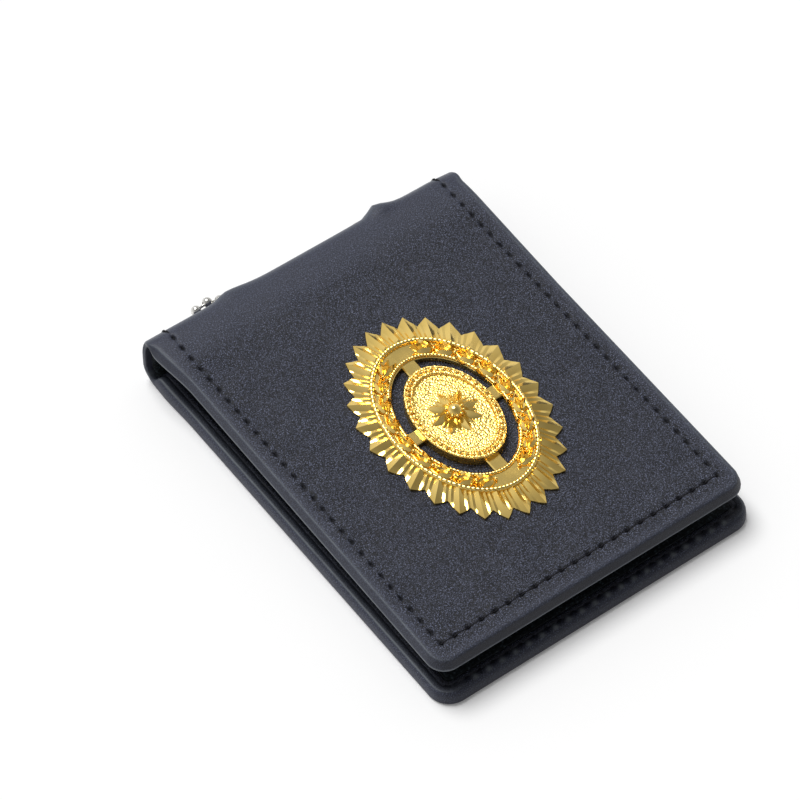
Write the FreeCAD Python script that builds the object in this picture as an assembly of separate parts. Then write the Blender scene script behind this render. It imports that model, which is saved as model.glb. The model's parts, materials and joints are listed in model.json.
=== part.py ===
import FreeCAD, Part
import math
import os
from FreeCAD import Vector

# An upright bifold badge wallet lying closed on its back panel.
# X runs across, +Y towards the fold, +Z up; the origin is under the middle of the wallet.
# Lengths are in millimetres and angles in degrees.

# Overall form
width = 75.0
rear_flat_length = 97.1
front_setback = 2.4
rear_overhang = 0.7
corner_radius = 5.5
cover_tilt_deg = 1.5

# Layers of the two panels, from their outer faces inwards
leather_thickness = 0.8
front_board_thickness = 1.4
front_hem_thickness = 0.8
rear_board_thickness = 0.6
rear_hem_thickness = 0.5
lining_thickness = 0.4
hem_width = 8.0
lining_inset = 0.6
edge_bevel = 0.4
board_back_gap = 4.0
inner_corner_radius = 1.2
fit_gap = 0.1
fold_gap = 0.15

# Fold: two bends with a flat spine between them
fold_radius = 3.9
spine_lining_thickness = 0.8
spine_overhang = 0.9

# Stitching
stitch_pitch = 3.2
stitch_length = 2.3
thread_width = 0.6
thread_thickness = 0.25
cover_side_margin = 3.9
cover_front_margin = 4.85
rear_margin = 2.2
groove_width = 1.0
groove_depth = 0.3
groove_corner_radius = 1.0

# Card frame with its window, on the rear panel
frame_thickness = 1.35
frame_inset = 0.4
frame_back_gap = 4.0
frame_edge_bevel = 0.4
window_side_margin = 15.0
window_front_margin = 16.0
window_back_margin = 13.0
window_corner_radius = 3.0
card_width = 56.0
card_front_margin = 6.0
card_room = 0.8
film_thickness = 0.2
film_overlap = 3.0
thumb_radius = 9.0

# Slip pocket inside the front cover
pocket_thickness = 0.8
pocket_inset = 1.6
pocket_back_gap = 13.0
pocket_room = 0.35
pocket_room_inset = 7.5
mouth_radius = 26.0
mouth_dip = 5.0

# Chain eyelets in the spine
eyelet_spread = 34.0
eyelet_lift = 0.6
eyelet_bore_radius = 1.5
eyelet_barrel_wall = 0.3
eyelet_flange_radius = 2.9
eyelet_flange_thickness = 0.55
eyelet_lip_width = 0.22
eyelet_lip_thickness = 0.2
washer_width = 0.35
washer_thickness = 0.3

# Ball chain
bead_diameter = 2.2
bead_sides = 8
bead_rings = 4
bead_pitch = 3.1
link_diameter = 0.6
link_sides = 6
link_clearance = 0.12
link_seat_share = 0.55
chain_gap = 0.2
exit_lead = 4.2
entry_lead = 5.2
bight_lead = 0.6
bight_run = 5.5
bight_radius = 4.0
rise_run = 11.0
inside_lead = 7.0
connector_wall = 0.3
connector_clearance = 0.1
connector_slot_width = 1.3
connector_end = 0.5

# Badge on the front cover
badge_width = 37.0
badge_length = 54.5
badge_front_margin = 45.7
plate_thickness = 1.2
ray_height = 1.5
ray_tip_thickness = 0.5
ray_valley_thickness = 0.35
ray_count = 28
ray_root_share = 0.74
ray_valley_share = 0.91
band_outer_share = 0.77
band_inner_share = 0.57
medallion_share = 0.46
bridge_width = 3.2
wreath_share = 0.63
wreath_width = 1.4
wreath_height = 0.5
leaf_length = 3.9
leaf_width = 1.7
leaf_belly_share = 0.42
leaf_height = 1.0
leaf_root = 0.3
leaf_splay_deg = 20.0
leaf_pairs = 9
wreath_open_deg = 17.0
medallion_height = 1.2
field_depth = 0.6
rim_width = 1.5
pearl_radius = 0.5
pearl_count = 44
pearl_sides = 6
pearl_rings = 3
pearl_sink_share = 0.25
petal_count = 8
petal_length = 4.6
petal_width = 2.1
petal_height = 1.3
petal_crown_shares = (0.22, 0.6)
petal_start_share = 0.5
rosette_dome_radius = 1.8
rosette_sink_share = 0.2
stud_diameter = 2.4
stud_spread = 26.0
stud_hole_clearance = 0.15
retainer_radius = 3.6
retainer_thickness = 0.45
retainer_recess_clearance = 0.4

# Flat sides of the small round metal pieces
ring_sides = 20

# Spare length of every cutting tool past the face that it leaves through
overrun = 1.0

# Sizes that follow from those above
half_width = width / 2
window_width = width - 2 * window_side_margin
window_length = rear_flat_length - frame_back_gap - window_front_margin - window_back_margin
bead_radius = bead_diameter / 2
link_radius = link_diameter / 2
connector_radius = bead_radius + connector_clearance + connector_wall
barrel_radius = eyelet_bore_radius + eyelet_barrel_wall
spine_rise = 2 * (barrel_radius + washer_width + eyelet_lift + fit_gap)
back_reach = eyelet_flange_thickness + chain_gap + bead_radius + connector_radius
total_length = rear_flat_length + fold_radius + back_reach
front_y = -total_length / 2
fold_y = front_y + rear_flat_length
spine_y = fold_y + fold_radius
fold_height = 2 * fold_radius + spine_rise
upper_centre_z = fold_radius + spine_rise
spine_inner_y = spine_y - leather_thickness - spine_lining_thickness
eyelet_x = eyelet_spread / 2
eyelet_z = fold_radius + spine_rise / 2 + eyelet_lift
eyelet_outer_y = spine_y + eyelet_flange_thickness
eyelet_inner_y = spine_inner_y - washer_thickness - eyelet_lip_thickness
AXIS_X = Vector(1, 0, 0)
AXIS_Y = Vector(0, 1, 0)
AXIS_Z = Vector(0, 0, 1)
ORIGIN = Vector(0, 0, 0)


class Panel:
    """The flat outline of one cover: straight sides, two rounded front corners, a square back edge."""

    def __init__(self, front, overhang, board, hem, side_margin, front_margin):
        self.front = front
        self.half_width = half_width + overhang
        self.back = fold_y - fold_gap
        self.board = board
        self.hem = hem
        self.row_x = self.half_width - side_margin
        self.row_y = front + front_margin
        self.side_margin = side_margin
        self.front_margin = front_margin
        self.tray_depth = leather_thickness + board + hem
        self.depth = self.tray_depth + lining_thickness

    def face(self, side_inset, front_inset, back, radius, depth):
        x = self.half_width - side_inset
        y = self.front + front_inset
        turn = radius * (1 - math.sqrt(0.5))
        left_start = Vector(-x, y + radius, depth)
        left_mid = Vector(-x + turn, y + turn, depth)
        left_end = Vector(-x + radius, y, depth)
        right_start = Vector(x - radius, y, depth)
        right_mid = Vector(x - turn, y + turn, depth)
        right_end = Vector(x, y + radius, depth)
        back_right = Vector(x, back, depth)
        back_left = Vector(-x, back, depth)
        edges = [
            Part.LineSegment(back_left, left_start).toShape(),
            Part.Arc(left_start, left_mid, left_end).toShape(),
            Part.LineSegment(left_end, right_start).toShape(),
            Part.Arc(right_start, right_mid, right_end).toShape(),
            Part.LineSegment(right_end, back_right).toShape(),
            Part.LineSegment(back_right, back_left).toShape(),
        ]
        return Part.Face(Part.Wire(edges))

    def slab(self, inset, depth, thickness, back=None):
        """A layer of the panel, with the same inset on the two sides and the front."""
        back = self.back if back is None else back
        radius = max(corner_radius - inset, inner_corner_radius)
        return self.face(inset, inset, back, radius, depth).extrude(AXIS_Z * thickness)


rear = Panel(front_y, rear_overhang, rear_board_thickness, rear_hem_thickness, rear_margin, rear_margin)
front = Panel(front_y + front_setback, 0, front_board_thickness, front_hem_thickness, cover_side_margin,
              cover_front_margin)


def place_front(shape):
    """Turns a panel layer over, lifts it on to the fold and tips its front edge down."""
    turned = shape.mirror(ORIGIN, AXIS_Z)
    turned.translate(AXIS_Z * fold_height)
    turned.rotate(Vector(0, fold_y, upper_centre_z), AXIS_X, cover_tilt_deg)
    return turned


def long_edges(solid, depth, back):
    """The edges of a slab at one depth, without the one along its back."""
    chosen = []
    for edge in solid.Edges:
        middle = edge.CenterOfMass
        at_depth = all(abs(v.Z - depth) < fit_gap / 10 for v in edge.Vertexes)
        if at_depth and abs(middle.y - back) > fit_gap / 10:
            chosen.append(edge)
    return chosen


def stitch_groove(panel, depth, thickness):
    """A channel along the two sides and the front, at the stitching's margins."""
    half = groove_width / 2
    back = panel.back + overrun
    side = panel.side_margin
    ahead = panel.front_margin
    outer = panel.face(side - half, ahead - half, back, groove_corner_radius + half, depth)
    inner_radius = groove_corner_radius - half + fit_gap
    inner = panel.face(side + half, ahead + half, back + overrun, inner_radius, depth)
    return outer.cut(inner).extrude(AXIS_Z * thickness)


def tray(panel):
    """Outer leather with its edges turned over the board as a hem, and a channel for the thread."""
    back = panel.back
    deep = panel.tray_depth
    body = panel.slab(0, 0, deep)
    body = body.makeChamfer(edge_bevel, long_edges(body, 0, back) + long_edges(body, deep, back))
    board_void = panel.slab(leather_thickness, leather_thickness, panel.board, back + overrun)
    pad_void = panel.slab(hem_width, leather_thickness + panel.board, panel.hem + overrun, back + overrun)
    body = body.cut(board_void.fuse(pad_void))
    return body.cut(stitch_groove(panel, 0, groove_depth))


def board_sheet(panel):
    """Stiffening board, which stops short of the bend."""
    back = panel.back - board_back_gap
    return panel.slab(leather_thickness + fit_gap, leather_thickness, panel.board, back)


def pad_sheet(panel):
    back = panel.back - board_back_gap
    return panel.slab(hem_width + fit_gap, leather_thickness + panel.board, panel.hem, back)


def lining_sheet(panel):
    return panel.slab(lining_inset, panel.tray_depth, lining_thickness)


def stitch(x, y, along_x, depth):
    """One visible length of thread, lying flat."""
    size_x = stitch_length if along_x else thread_width
    size_y = thread_width if along_x else stitch_length
    corner = Vector(x - size_x / 2, y - size_y / 2, depth)
    return Part.makeBox(size_x, size_y, thread_thickness, corner)


def stitch_row(panel, depth):
    """Thread lengths one pitch apart along both sides and the front of a panel."""
    side_count = math.floor((panel.back - panel.row_y) / stitch_pitch)
    front_count = math.floor(2 * panel.row_x / stitch_pitch)
    threads = []
    for i in range(side_count):
        y = panel.row_y + (i + 0.5) * stitch_pitch
        threads.append(stitch(-panel.row_x, y, False, depth))
        threads.append(stitch(panel.row_x, y, False, depth))
    for i in range(front_count):
        x = (i + 0.5 - front_count / 2) * stitch_pitch
        threads.append(stitch(x, panel.row_y, True, depth))
    return threads


def rounded_window(front, depth, thickness):
    """A rectangle with round corners, for the card window."""
    box = Part.makeBox(window_width, window_length, thickness, Vector(-window_width / 2, front, depth))
    upright = [e for e in box.Edges if abs(e.Vertexes[0].Z - e.Vertexes[1].Z) > fit_gap]
    return box.makeFillet(window_corner_radius, upright)


def card_frame():
    """Leather frame over the card: a window, a card space open to the fold and a thumb notch."""
    back = fold_y - frame_back_gap
    base = rear.depth
    frame = rear.slab(frame_inset, base, frame_thickness, back)
    frame = frame.makeChamfer(frame_edge_bevel, long_edges(frame, base + frame_thickness, back))
    window = rounded_window(rear.front + window_front_margin, base - overrun, frame_thickness + 2 * overrun)
    room_start = rear.front + card_front_margin
    room = Part.makeBox(card_width, back + overrun - room_start, card_room + film_thickness,
                        Vector(-card_width / 2, room_start, base))
    notch = Part.makeCylinder(thumb_radius, frame_thickness + 2 * overrun, Vector(0, back, base - overrun))
    return frame.cut(window.fuse([room, film_sheet(fit_gap), notch]))


def film_sheet(margin):
    """The clear window under the frame's opening; with a margin, the recess that it lies in."""
    reach = film_overlap + margin
    size_x = window_width + 2 * reach
    size_y = window_length + 2 * reach
    corner = Vector(-size_x / 2, rear.front + window_front_margin - reach, rear.depth + card_room)
    return Part.makeBox(size_x, size_y, film_thickness, corner)


def slip_pocket():
    """Pocket panel inside the front cover, with a dipped mouth and a shallow space behind it."""
    mouth = fold_y - pocket_back_gap
    base = front.depth
    panel = front.slab(pocket_inset, base, pocket_thickness, mouth)
    room = front.face(pocket_room_inset, pocket_room_inset, mouth + overrun, inner_corner_radius, base)
    dip = Part.makeCylinder(mouth_radius, pocket_thickness + 2 * overrun,
                            Vector(0, mouth - mouth_dip + mouth_radius, base - overrun))
    return panel.cut(room.extrude(AXIS_Z * pocket_room)).cut(dip)


def bend(centre_z, outer_radius, thickness, start_deg, end_deg):
    """A curved strip across the fold, between two angles counted from +Y towards +Z."""
    x = -half_width - spine_overhang

    def at(radius, angle):
        turn = math.radians(angle)
        return Vector(x, fold_y + radius * math.cos(turn), centre_z + radius * math.sin(turn))

    middle = (start_deg + end_deg) / 2
    inner_radius = outer_radius - thickness
    edges = [
        Part.Arc(at(outer_radius, start_deg), at(outer_radius, middle), at(outer_radius, end_deg)).toShape(),
        Part.LineSegment(at(outer_radius, end_deg), at(inner_radius, end_deg)).toShape(),
        Part.Arc(at(inner_radius, end_deg), at(inner_radius, middle), at(inner_radius, start_deg)).toShape(),
        Part.LineSegment(at(inner_radius, start_deg), at(outer_radius, start_deg)).toShape(),
    ]
    return Part.Face(Part.Wire(edges)).extrude(AXIS_X * (width + 2 * spine_overhang))


def spine_strip(outer_y, thickness):
    """The flat middle of the fold, holed for the eyelets."""
    strip = Part.makeBox(width + 2 * spine_overhang, thickness, spine_rise,
                         Vector(-half_width - spine_overhang, outer_y - thickness, fold_radius))
    hole_radius = barrel_radius + fit_gap / 2
    for side in (-1, 1):
        start = Vector(side * eyelet_x, outer_y - thickness - overrun, eyelet_z)
        strip = strip.cut(Part.makeCylinder(hole_radius, thickness + 2 * overrun, start, AXIS_Y))
    return strip


def flat_faces(corner_lists):
    """A closed solid from its flat faces."""
    faces = [Part.Face(Part.makePolygon(corners + corners[:1])) for corners in corner_lists]
    return Part.Solid(Part.makeShell(faces))


def flat_ring(profile, place, axis):
    """A ring in flat facets about an axis, from (radius, height along the axis) corners."""
    rows = []
    for i in range(ring_sides):
        turn = 2 * math.pi * i / ring_sides
        out = AXIS_X * math.cos(turn) + axis.cross(AXIS_X) * math.sin(turn)
        rows.append([place + out * radius + axis * height for radius, height in profile])
    faces = []
    for row, after in zip(rows, rows[1:] + rows[:1]):
        for k in range(len(profile)):
            faces.append([row[k - 1], row[k], after[k], after[k - 1]])
    return flat_faces(faces)


def eyelet(x):
    """Tubular eyelet: bevelled flange outside, barrel through the spine, rolled lip over the washer."""
    bevel = eyelet_flange_thickness / 2
    seat_y = spine_inner_y - washer_thickness
    profile = [
        (eyelet_bore_radius, eyelet_outer_y),
        (eyelet_flange_radius - bevel, eyelet_outer_y),
        (eyelet_flange_radius, eyelet_outer_y - bevel),
        (eyelet_flange_radius, spine_y),
        (barrel_radius, spine_y),
        (barrel_radius, seat_y),
        (barrel_radius + eyelet_lip_width, seat_y),
        (barrel_radius + eyelet_lip_width, eyelet_inner_y),
        (eyelet_bore_radius, eyelet_inner_y),
    ]
    return flat_ring(profile, Vector(x, 0, eyelet_z), AXIS_Y)


def eyelet_washer(x):
    profile = [
        (barrel_radius + fit_gap / 2, spine_inner_y),
        (barrel_radius + washer_width, spine_inner_y),
        (barrel_radius + washer_width, spine_inner_y - washer_thickness),
        (barrel_radius + fit_gap / 2, spine_inner_y - washer_thickness),
    ]
    return flat_ring(profile, Vector(x, 0, eyelet_z), AXIS_Y)


def bezier(*poles):
    curve = Part.BezierCurve()
    curve.setPoles(list(poles))
    return curve.toShape()


def evenly(edges):
    """Bead centres about one pitch apart along joined edges, without the last one."""
    line = Part.Wire(edges)
    spaces = max(2, round(line.Length / bead_pitch))
    return line.discretize(Number=spaces + 1)[:-1]


def chain_centres():
    """The closed chain: out of the left eyelet, back along the ground behind the spine, in at the right."""
    hole_y = (eyelet_outer_y + eyelet_inner_y) / 2
    lie_y = eyelet_outer_y + chain_gap + bead_radius
    wall_y = spine_y + chain_gap + bead_radius
    inside_y = eyelet_inner_y - chain_gap - bead_radius
    ground_z = connector_radius
    top_z = ground_z + 2 * bight_radius
    turn_x = -eyelet_x - bight_run
    left_hole = Vector(-eyelet_x, hole_y, eyelet_z)
    right_hole = Vector(eyelet_x, hole_y, eyelet_z)
    way_in = AXIS_Y * (2 * (inside_y - hole_y))
    turn_top = Vector(turn_x, lie_y, top_z)
    turn_side = Vector(turn_x - bight_radius, wall_y, ground_z + bight_radius)
    turn_foot = Vector(turn_x, lie_y, ground_z)
    rise_foot = Vector(eyelet_x - rise_run, lie_y, ground_z)
    left_inside = Vector(-eyelet_x + inside_lead, inside_y, eyelet_z)
    right_inside = Vector(eyelet_x - inside_lead, inside_y, eyelet_z)
    outside = [
        bezier(left_hole, left_hole + AXIS_Y * exit_lead, turn_top + AXIS_X * bight_lead, turn_top),
        Part.Arc(turn_top, turn_side, turn_foot).toShape(),
        Part.LineSegment(turn_foot, rise_foot).toShape(),
        bezier(rise_foot, rise_foot + AXIS_X * (rise_run / 2), right_hole + AXIS_Y * entry_lead, right_hole),
    ]
    inside = [
        bezier(right_hole, right_hole + way_in, right_inside + AXIS_X * (inside_lead / 2), right_inside),
        Part.LineSegment(right_inside, left_inside).toShape(),
        bezier(left_inside, left_inside - AXIS_X * (inside_lead / 2), left_hole + way_in, left_hole),
    ]
    return evenly(outside) + evenly(inside)


def toward(a, b):
    step = b - a
    return step / step.Length


def ball(centre, radius, sides, rings):
    """A round ball in flat facets, in rings about an upright axis."""
    turns = [2 * math.pi * i / sides for i in range(sides)]
    rows = []
    for k in range(1, rings):
        lean = math.pi * k / rings
        level = centre + AXIS_Z * (radius * math.cos(lean))
        spread = radius * math.sin(lean)
        rows.append([level + Vector(math.cos(t), math.sin(t), 0) * spread for t in turns])
    top = centre + AXIS_Z * radius
    foot = centre - AXIS_Z * radius
    faces = []
    for i in range(sides):
        j = (i + 1) % sides
        faces.append([top, rows[0][i], rows[0][j]])
        faces.append([foot, rows[-1][j], rows[-1][i]])
        for upper, lower in zip(rows, rows[1:]):
            faces.append([upper[i], lower[i], lower[j], upper[j]])
    return flat_faces(faces)


def pin(radius, length, start, way):
    """A slim rod with a regular polygon as its section."""
    across = way.cross(AXIS_Z)
    across = across / across.Length if across.Length > 0 else AXIS_X
    up = way.cross(across)
    turns = [2 * math.pi * i / link_sides for i in range(link_sides)]
    corners = [start + (across * math.cos(t) + up * math.sin(t)) * radius for t in turns]
    return Part.Face(Part.makePolygon(corners + corners[:1])).extrude(way * length)


def chain_pieces(centres):
    """Round beads with a socket on each side, and the straight links that lie in them."""
    beads = []
    links = []
    seat = bead_radius * link_seat_share
    for i, centre in enumerate(centres):
        after = centres[(i + 1) % len(centres)]
        before = centres[i - 1]
        bead = ball(centre, bead_radius, bead_sides, bead_rings)
        for neighbour in (before, after):
            way = toward(centre, neighbour)
            mouth = centre + way * (seat - link_clearance)
            bead = bead.cut(pin(link_radius + link_clearance, bead_radius, mouth, way))
        beads.append(bead)
        way = toward(centre, after)
        long = (after - centre).Length - 2 * seat
        links.append(pin(link_radius, long, centre + way * seat, way))
    return beads, links


def chain_connector(centres):
    """Slotted sleeve that holds two neighbouring beads on the ground behind the spine."""
    target = Vector(-eyelet_x / 2, eyelet_outer_y, 0)
    lowest = range(len(centres) // 2)
    first = min(lowest, key=lambda i: (centres[i] + centres[i + 1] - target * 2).Length)
    a = centres[first]
    b = centres[first + 1]
    way = toward(a, b)
    end = bead_radius + connector_clearance
    inner = Part.makeCylinder(end, (b - a).Length + 2 * end, a - way * end, way)
    wall = connector_wall
    long = (b - a).Length + 2 * end + 2 * connector_end
    start = a - way * (end + connector_end)
    sleeve = Part.makeCylinder(end + wall, long, start, way)
    eye = Part.makeCylinder(link_radius + link_clearance, long + 2 * overrun, start - way * overrun, way)
    across = way.cross(AXIS_Z)
    corner = start - way * overrun - across * (connector_slot_width / 2)
    slot_face = Part.Face(Part.makePolygon([
        corner,
        corner + across * connector_slot_width,
        corner + across * connector_slot_width + AXIS_Z * (end + wall + overrun),
        corner + AXIS_Z * (end + wall + overrun),
        corner,
    ]))
    slot = slot_face.extrude(way * (long + 2 * overrun))
    return sleeve.cut(inner.fuse([eye, slot]))


def oval(share, height, thickness):
    """An upright oval plate of the badge, as a share of the badge's size."""
    long_radius = badge_length / 2 * share
    short_radius = badge_width / 2 * share
    middle = Vector(0, 0, height)
    outline = Part.Ellipse(middle + AXIS_Y * long_radius, middle + AXIS_X * short_radius, middle)
    return Part.Face(Part.Wire(outline.toShape())).extrude(AXIS_Z * thickness)


def oval_point(share, turn, height):
    x = badge_width / 2 * share * math.sin(turn)
    y = badge_length / 2 * share * math.cos(turn)
    return Vector(x, y, height)


def ray_ring():
    """Pointed rays with a sharp ridge each, round the oval."""
    top = plate_thickness + ray_height - plate_thickness / 2
    faces = []
    for i in range(ray_count):
        turns = [2 * math.pi * (i + k / 2) / ray_count for k in (-1, 0, 1)]
        valley_root = [oval_point(ray_root_share, t, plate_thickness) for t in turns]
        ridge_root = oval_point(ray_root_share, turns[1], top)
        tip = oval_point(1, turns[1], ray_tip_thickness)
        tip_foot = oval_point(1, turns[1], 0)
        for k in (0, 2):
            root = valley_root[k]
            valley = oval_point(ray_valley_share, turns[k], ray_valley_thickness)
            valley_foot = oval_point(ray_valley_share, turns[k], 0)
            root_foot = oval_point(ray_root_share, turns[k], 0)
            ridge_foot = oval_point(ray_root_share, turns[1], 0)
            faces.append([root, ridge_root, tip])
            faces.append([root, tip, valley])
            faces.append([valley, tip, tip_foot, valley_foot])
            faces.append([root_foot, ridge_foot, tip_foot, valley_foot])
            faces.append([root_foot, ridge_foot, ridge_root, root])
    return flat_faces(faces)


def badge_plate():
    """Pierced base: ray ring, wreath band and a bed for the medallion, tied by four bridges."""
    hollow = oval(band_inner_share, -overrun, plate_thickness + 2 * overrun)
    band = oval(band_outer_share, 0, plate_thickness).cut(hollow)
    bed = oval(medallion_share, 0, plate_thickness)
    cross_bar = Part.makeBox(badge_width * band_inner_share + rim_width, bridge_width, plate_thickness)
    cross_bar.translate(Vector(-cross_bar.BoundBox.XLength / 2, -bridge_width / 2, 0))
    long_bar = Part.makeBox(bridge_width, badge_length * band_inner_share + rim_width, plate_thickness)
    long_bar.translate(Vector(-bridge_width / 2, -long_bar.BoundBox.YLength / 2, 0))
    return ray_ring().fuse([band, bed, cross_bar, long_bar]).removeSplitter()


def leaf(root, heading):
    """A pointed leaf with a raised midrib, rooted a little below the surface that it lies on."""
    along = Vector(math.sin(heading), math.cos(heading), 0)
    across = Vector(along.y, -along.x, 0)
    belly = root + along * (leaf_length * leaf_belly_share)
    low = AXIS_Z * -leaf_root
    side = across * (leaf_width / 2)
    base = [root, belly + side, root + along * leaf_length, belly - side]
    foot = [p + low for p in base]
    crown = belly + AXIS_Z * leaf_height
    faces = [foot]
    for k in range(4):
        after = (k + 1) % 4
        faces.append([foot[k], foot[after], base[after], base[k]])
        faces.append([base[k], base[after], crown])
    return flat_faces(faces)


def badge_wreath():
    """Two sprigs of paired leaves on a flat oval band, open at the top."""
    edge_share = wreath_width / badge_width
    band = oval(wreath_share + edge_share, 0, wreath_height)
    band = band.cut(oval(wreath_share - edge_share, -overrun, wreath_height + 2 * overrun))
    leaves = []
    span = math.pi - 2 * math.radians(wreath_open_deg)
    for side in (-1, 1):
        for i in range(leaf_pairs):
            turn = side * (math.pi - math.radians(wreath_open_deg) - span * i / leaf_pairs)
            root = oval_point(wreath_share, turn, wreath_height)
            heading = math.atan2(-side * badge_width * math.cos(turn), side * badge_length * math.sin(turn))
            for lean in (-1, 1):
                leaves.append(leaf(root, heading + lean * math.radians(leaf_splay_deg)))
    return band.fuse(leaves)


def badge_medallion():
    """Raised oval with a sunk field and a rim of pearls."""
    rim_inner_share = medallion_share - 2 * rim_width / badge_width
    dish = oval(medallion_share, 0, medallion_height)
    dish = dish.cut(oval(rim_inner_share, medallion_height - field_depth, field_depth + overrun))
    middle = (medallion_share + rim_inner_share) / 2
    level = medallion_height - pearl_radius * pearl_sink_share
    pearls = []
    for i in range(pearl_count):
        centre = oval_point(middle, 2 * math.pi * i / pearl_count, level)
        pearls.append(ball(centre, pearl_radius, pearl_sides, pearl_rings))
    return dish.fuse(pearls)


def petal(turn):
    """A petal lying out from the middle of the rosette, flat below and keeled above."""
    along = Vector(math.cos(turn), math.sin(turn), 0)
    across = Vector(-along.y, along.x, 0)
    root = along * (rosette_dome_radius * petal_start_share)
    tip = root + along * petal_length
    keel = [root + along * (petal_length * share) + AXIS_Z * petal_height for share in petal_crown_shares]
    middle = (root + tip) / 2
    left = middle + across * (petal_width / 2)
    right = middle - across * (petal_width / 2)
    faces = [[root, left, tip, right]]
    for side in (left, right):
        faces.append([root, keel[0], side])
        faces.append([keel[0], keel[1], side])
        faces.append([keel[1], tip, side])
    return flat_faces(faces)


def badge_rosette():
    """Flower boss: keeled petals round a domed middle, with a flat underside."""
    lift = AXIS_Z * (rosette_dome_radius * rosette_sink_share)
    flower = ball(lift, rosette_dome_radius, bead_sides, bead_rings)
    flower = flower.fuse([petal(2 * math.pi * i / petal_count) for i in range(petal_count)])
    reach = rosette_dome_radius + petal_length + overrun
    keep = Part.makeBox(2 * reach, 2 * reach, reach, Vector(-reach, -reach, 0))
    return flower.common(keep)


def stud_places():
    return [Vector(0, side * stud_spread / 2, 0) for side in (-1, 1)]


def badge_on_cover(shape, height):
    """Stands a badge piece on the outer face of the front cover; heights grow away from the leather."""
    lying = shape.copy()
    lying.translate(Vector(0, front.front + badge_front_margin, height))
    lying = lying.mirror(ORIGIN, AXIS_Z)
    return place_front(lying)


def stud_holes(radius, depth, thickness):
    holes = []
    for place in stud_places():
        start = place + Vector(0, front.front + badge_front_margin, depth - overrun)
        holes.append(Part.makeCylinder(radius, thickness + 2 * overrun, start))
    return holes[0].fuse(holes[1:])


def badge_stud(place):
    depth = leather_thickness + front.board + retainer_thickness
    return Part.makeCylinder(stud_diameter / 2, depth, place - AXIS_Z * depth)


def stud_retainer(place):
    """Thin push-on washer that holds a stud behind the board."""
    base = place - AXIS_Z * (leather_thickness + front.board + retainer_thickness)
    hole_radius = stud_diameter / 2 + fit_gap / 2
    profile = [
        (hole_radius, 0),
        (retainer_radius, 0),
        (retainer_radius, retainer_thickness),
        (hole_radius, retainer_thickness),
    ]
    return flat_ring(profile, base, AXIS_Z)


def build():
    """Every piece of the wallet by name, each a list of its solids."""
    stud_clear = stud_diameter / 2 + stud_hole_clearance
    front_tray = tray(front).cut(stud_holes(stud_clear, 0, leather_thickness))
    front_board = board_sheet(front).cut(stud_holes(stud_clear, leather_thickness, front.board))
    front_pad = pad_sheet(front).cut(stud_holes(retainer_radius + retainer_recess_clearance,
                                                leather_thickness + front.board, front.hem))
    thread_in = groove_depth - thread_thickness
    upper_end = 90 + cover_tilt_deg
    inner_radius = fold_radius - leather_thickness
    centres = chain_centres()
    beads, links = chain_pieces(centres)
    sides = (-eyelet_x, eyelet_x)
    return {
        "rear_cover": [tray(rear)],
        "rear_board": [board_sheet(rear)],
        "rear_padding": [pad_sheet(rear)],
        "rear_lining": [lining_sheet(rear)],
        "card_frame": [card_frame()],
        "card_window": [film_sheet(0)],
        "rear_stitching": stitch_row(rear, thread_in),
        "lower_fold_leather": [bend(fold_radius, fold_radius, leather_thickness, -90, 0)],
        "lower_fold_lining": [bend(fold_radius, inner_radius, spine_lining_thickness, -90, 0)],
        "spine_leather": [spine_strip(spine_y, leather_thickness)],
        "spine_lining": [spine_strip(spine_y - leather_thickness, spine_lining_thickness)],
        "upper_fold_leather": [bend(upper_centre_z, fold_radius, leather_thickness, 0, upper_end)],
        "upper_fold_lining": [bend(upper_centre_z, inner_radius, spine_lining_thickness, 0, upper_end)],
        "eyelets": [eyelet(x) for x in sides],
        "eyelet_washers": [eyelet_washer(x) for x in sides],
        "chain_beads": beads,
        "chain_links": links,
        "chain_connector": [chain_connector(centres)],
        "front_cover": [place_front(front_tray)],
        "front_board": [place_front(front_board)],
        "front_padding": [place_front(front_pad)],
        "front_lining": [place_front(lining_sheet(front))],
        "slip_pocket": [place_front(slip_pocket())],
        "front_stitching": [place_front(thread) for thread in stitch_row(front, thread_in)],
        "badge_plate": [badge_on_cover(badge_plate(), 0)],
        "badge_wreath": [badge_on_cover(badge_wreath(), plate_thickness)],
        "badge_medallion": [badge_on_cover(badge_medallion(), plate_thickness)],
        "badge_rosette": [badge_on_cover(badge_rosette(), plate_thickness + medallion_height - field_depth)],
        "badge_studs": [badge_on_cover(badge_stud(place), 0) for place in stud_places()],
        "stud_retainers": [badge_on_cover(stud_retainer(place), 0) for place in stud_places()],
    }


os.makedirs("parts", exist_ok=True)
for name, solids in build().items():
    shape = solids[0] if len(solids) == 1 else Part.makeCompound(solids)
    shape.exportStep("parts/" + name + ".step")
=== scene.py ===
import json
import math
import bmesh
import bpy
import numpy as np
from mathutils import Euler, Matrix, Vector, noise


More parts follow.
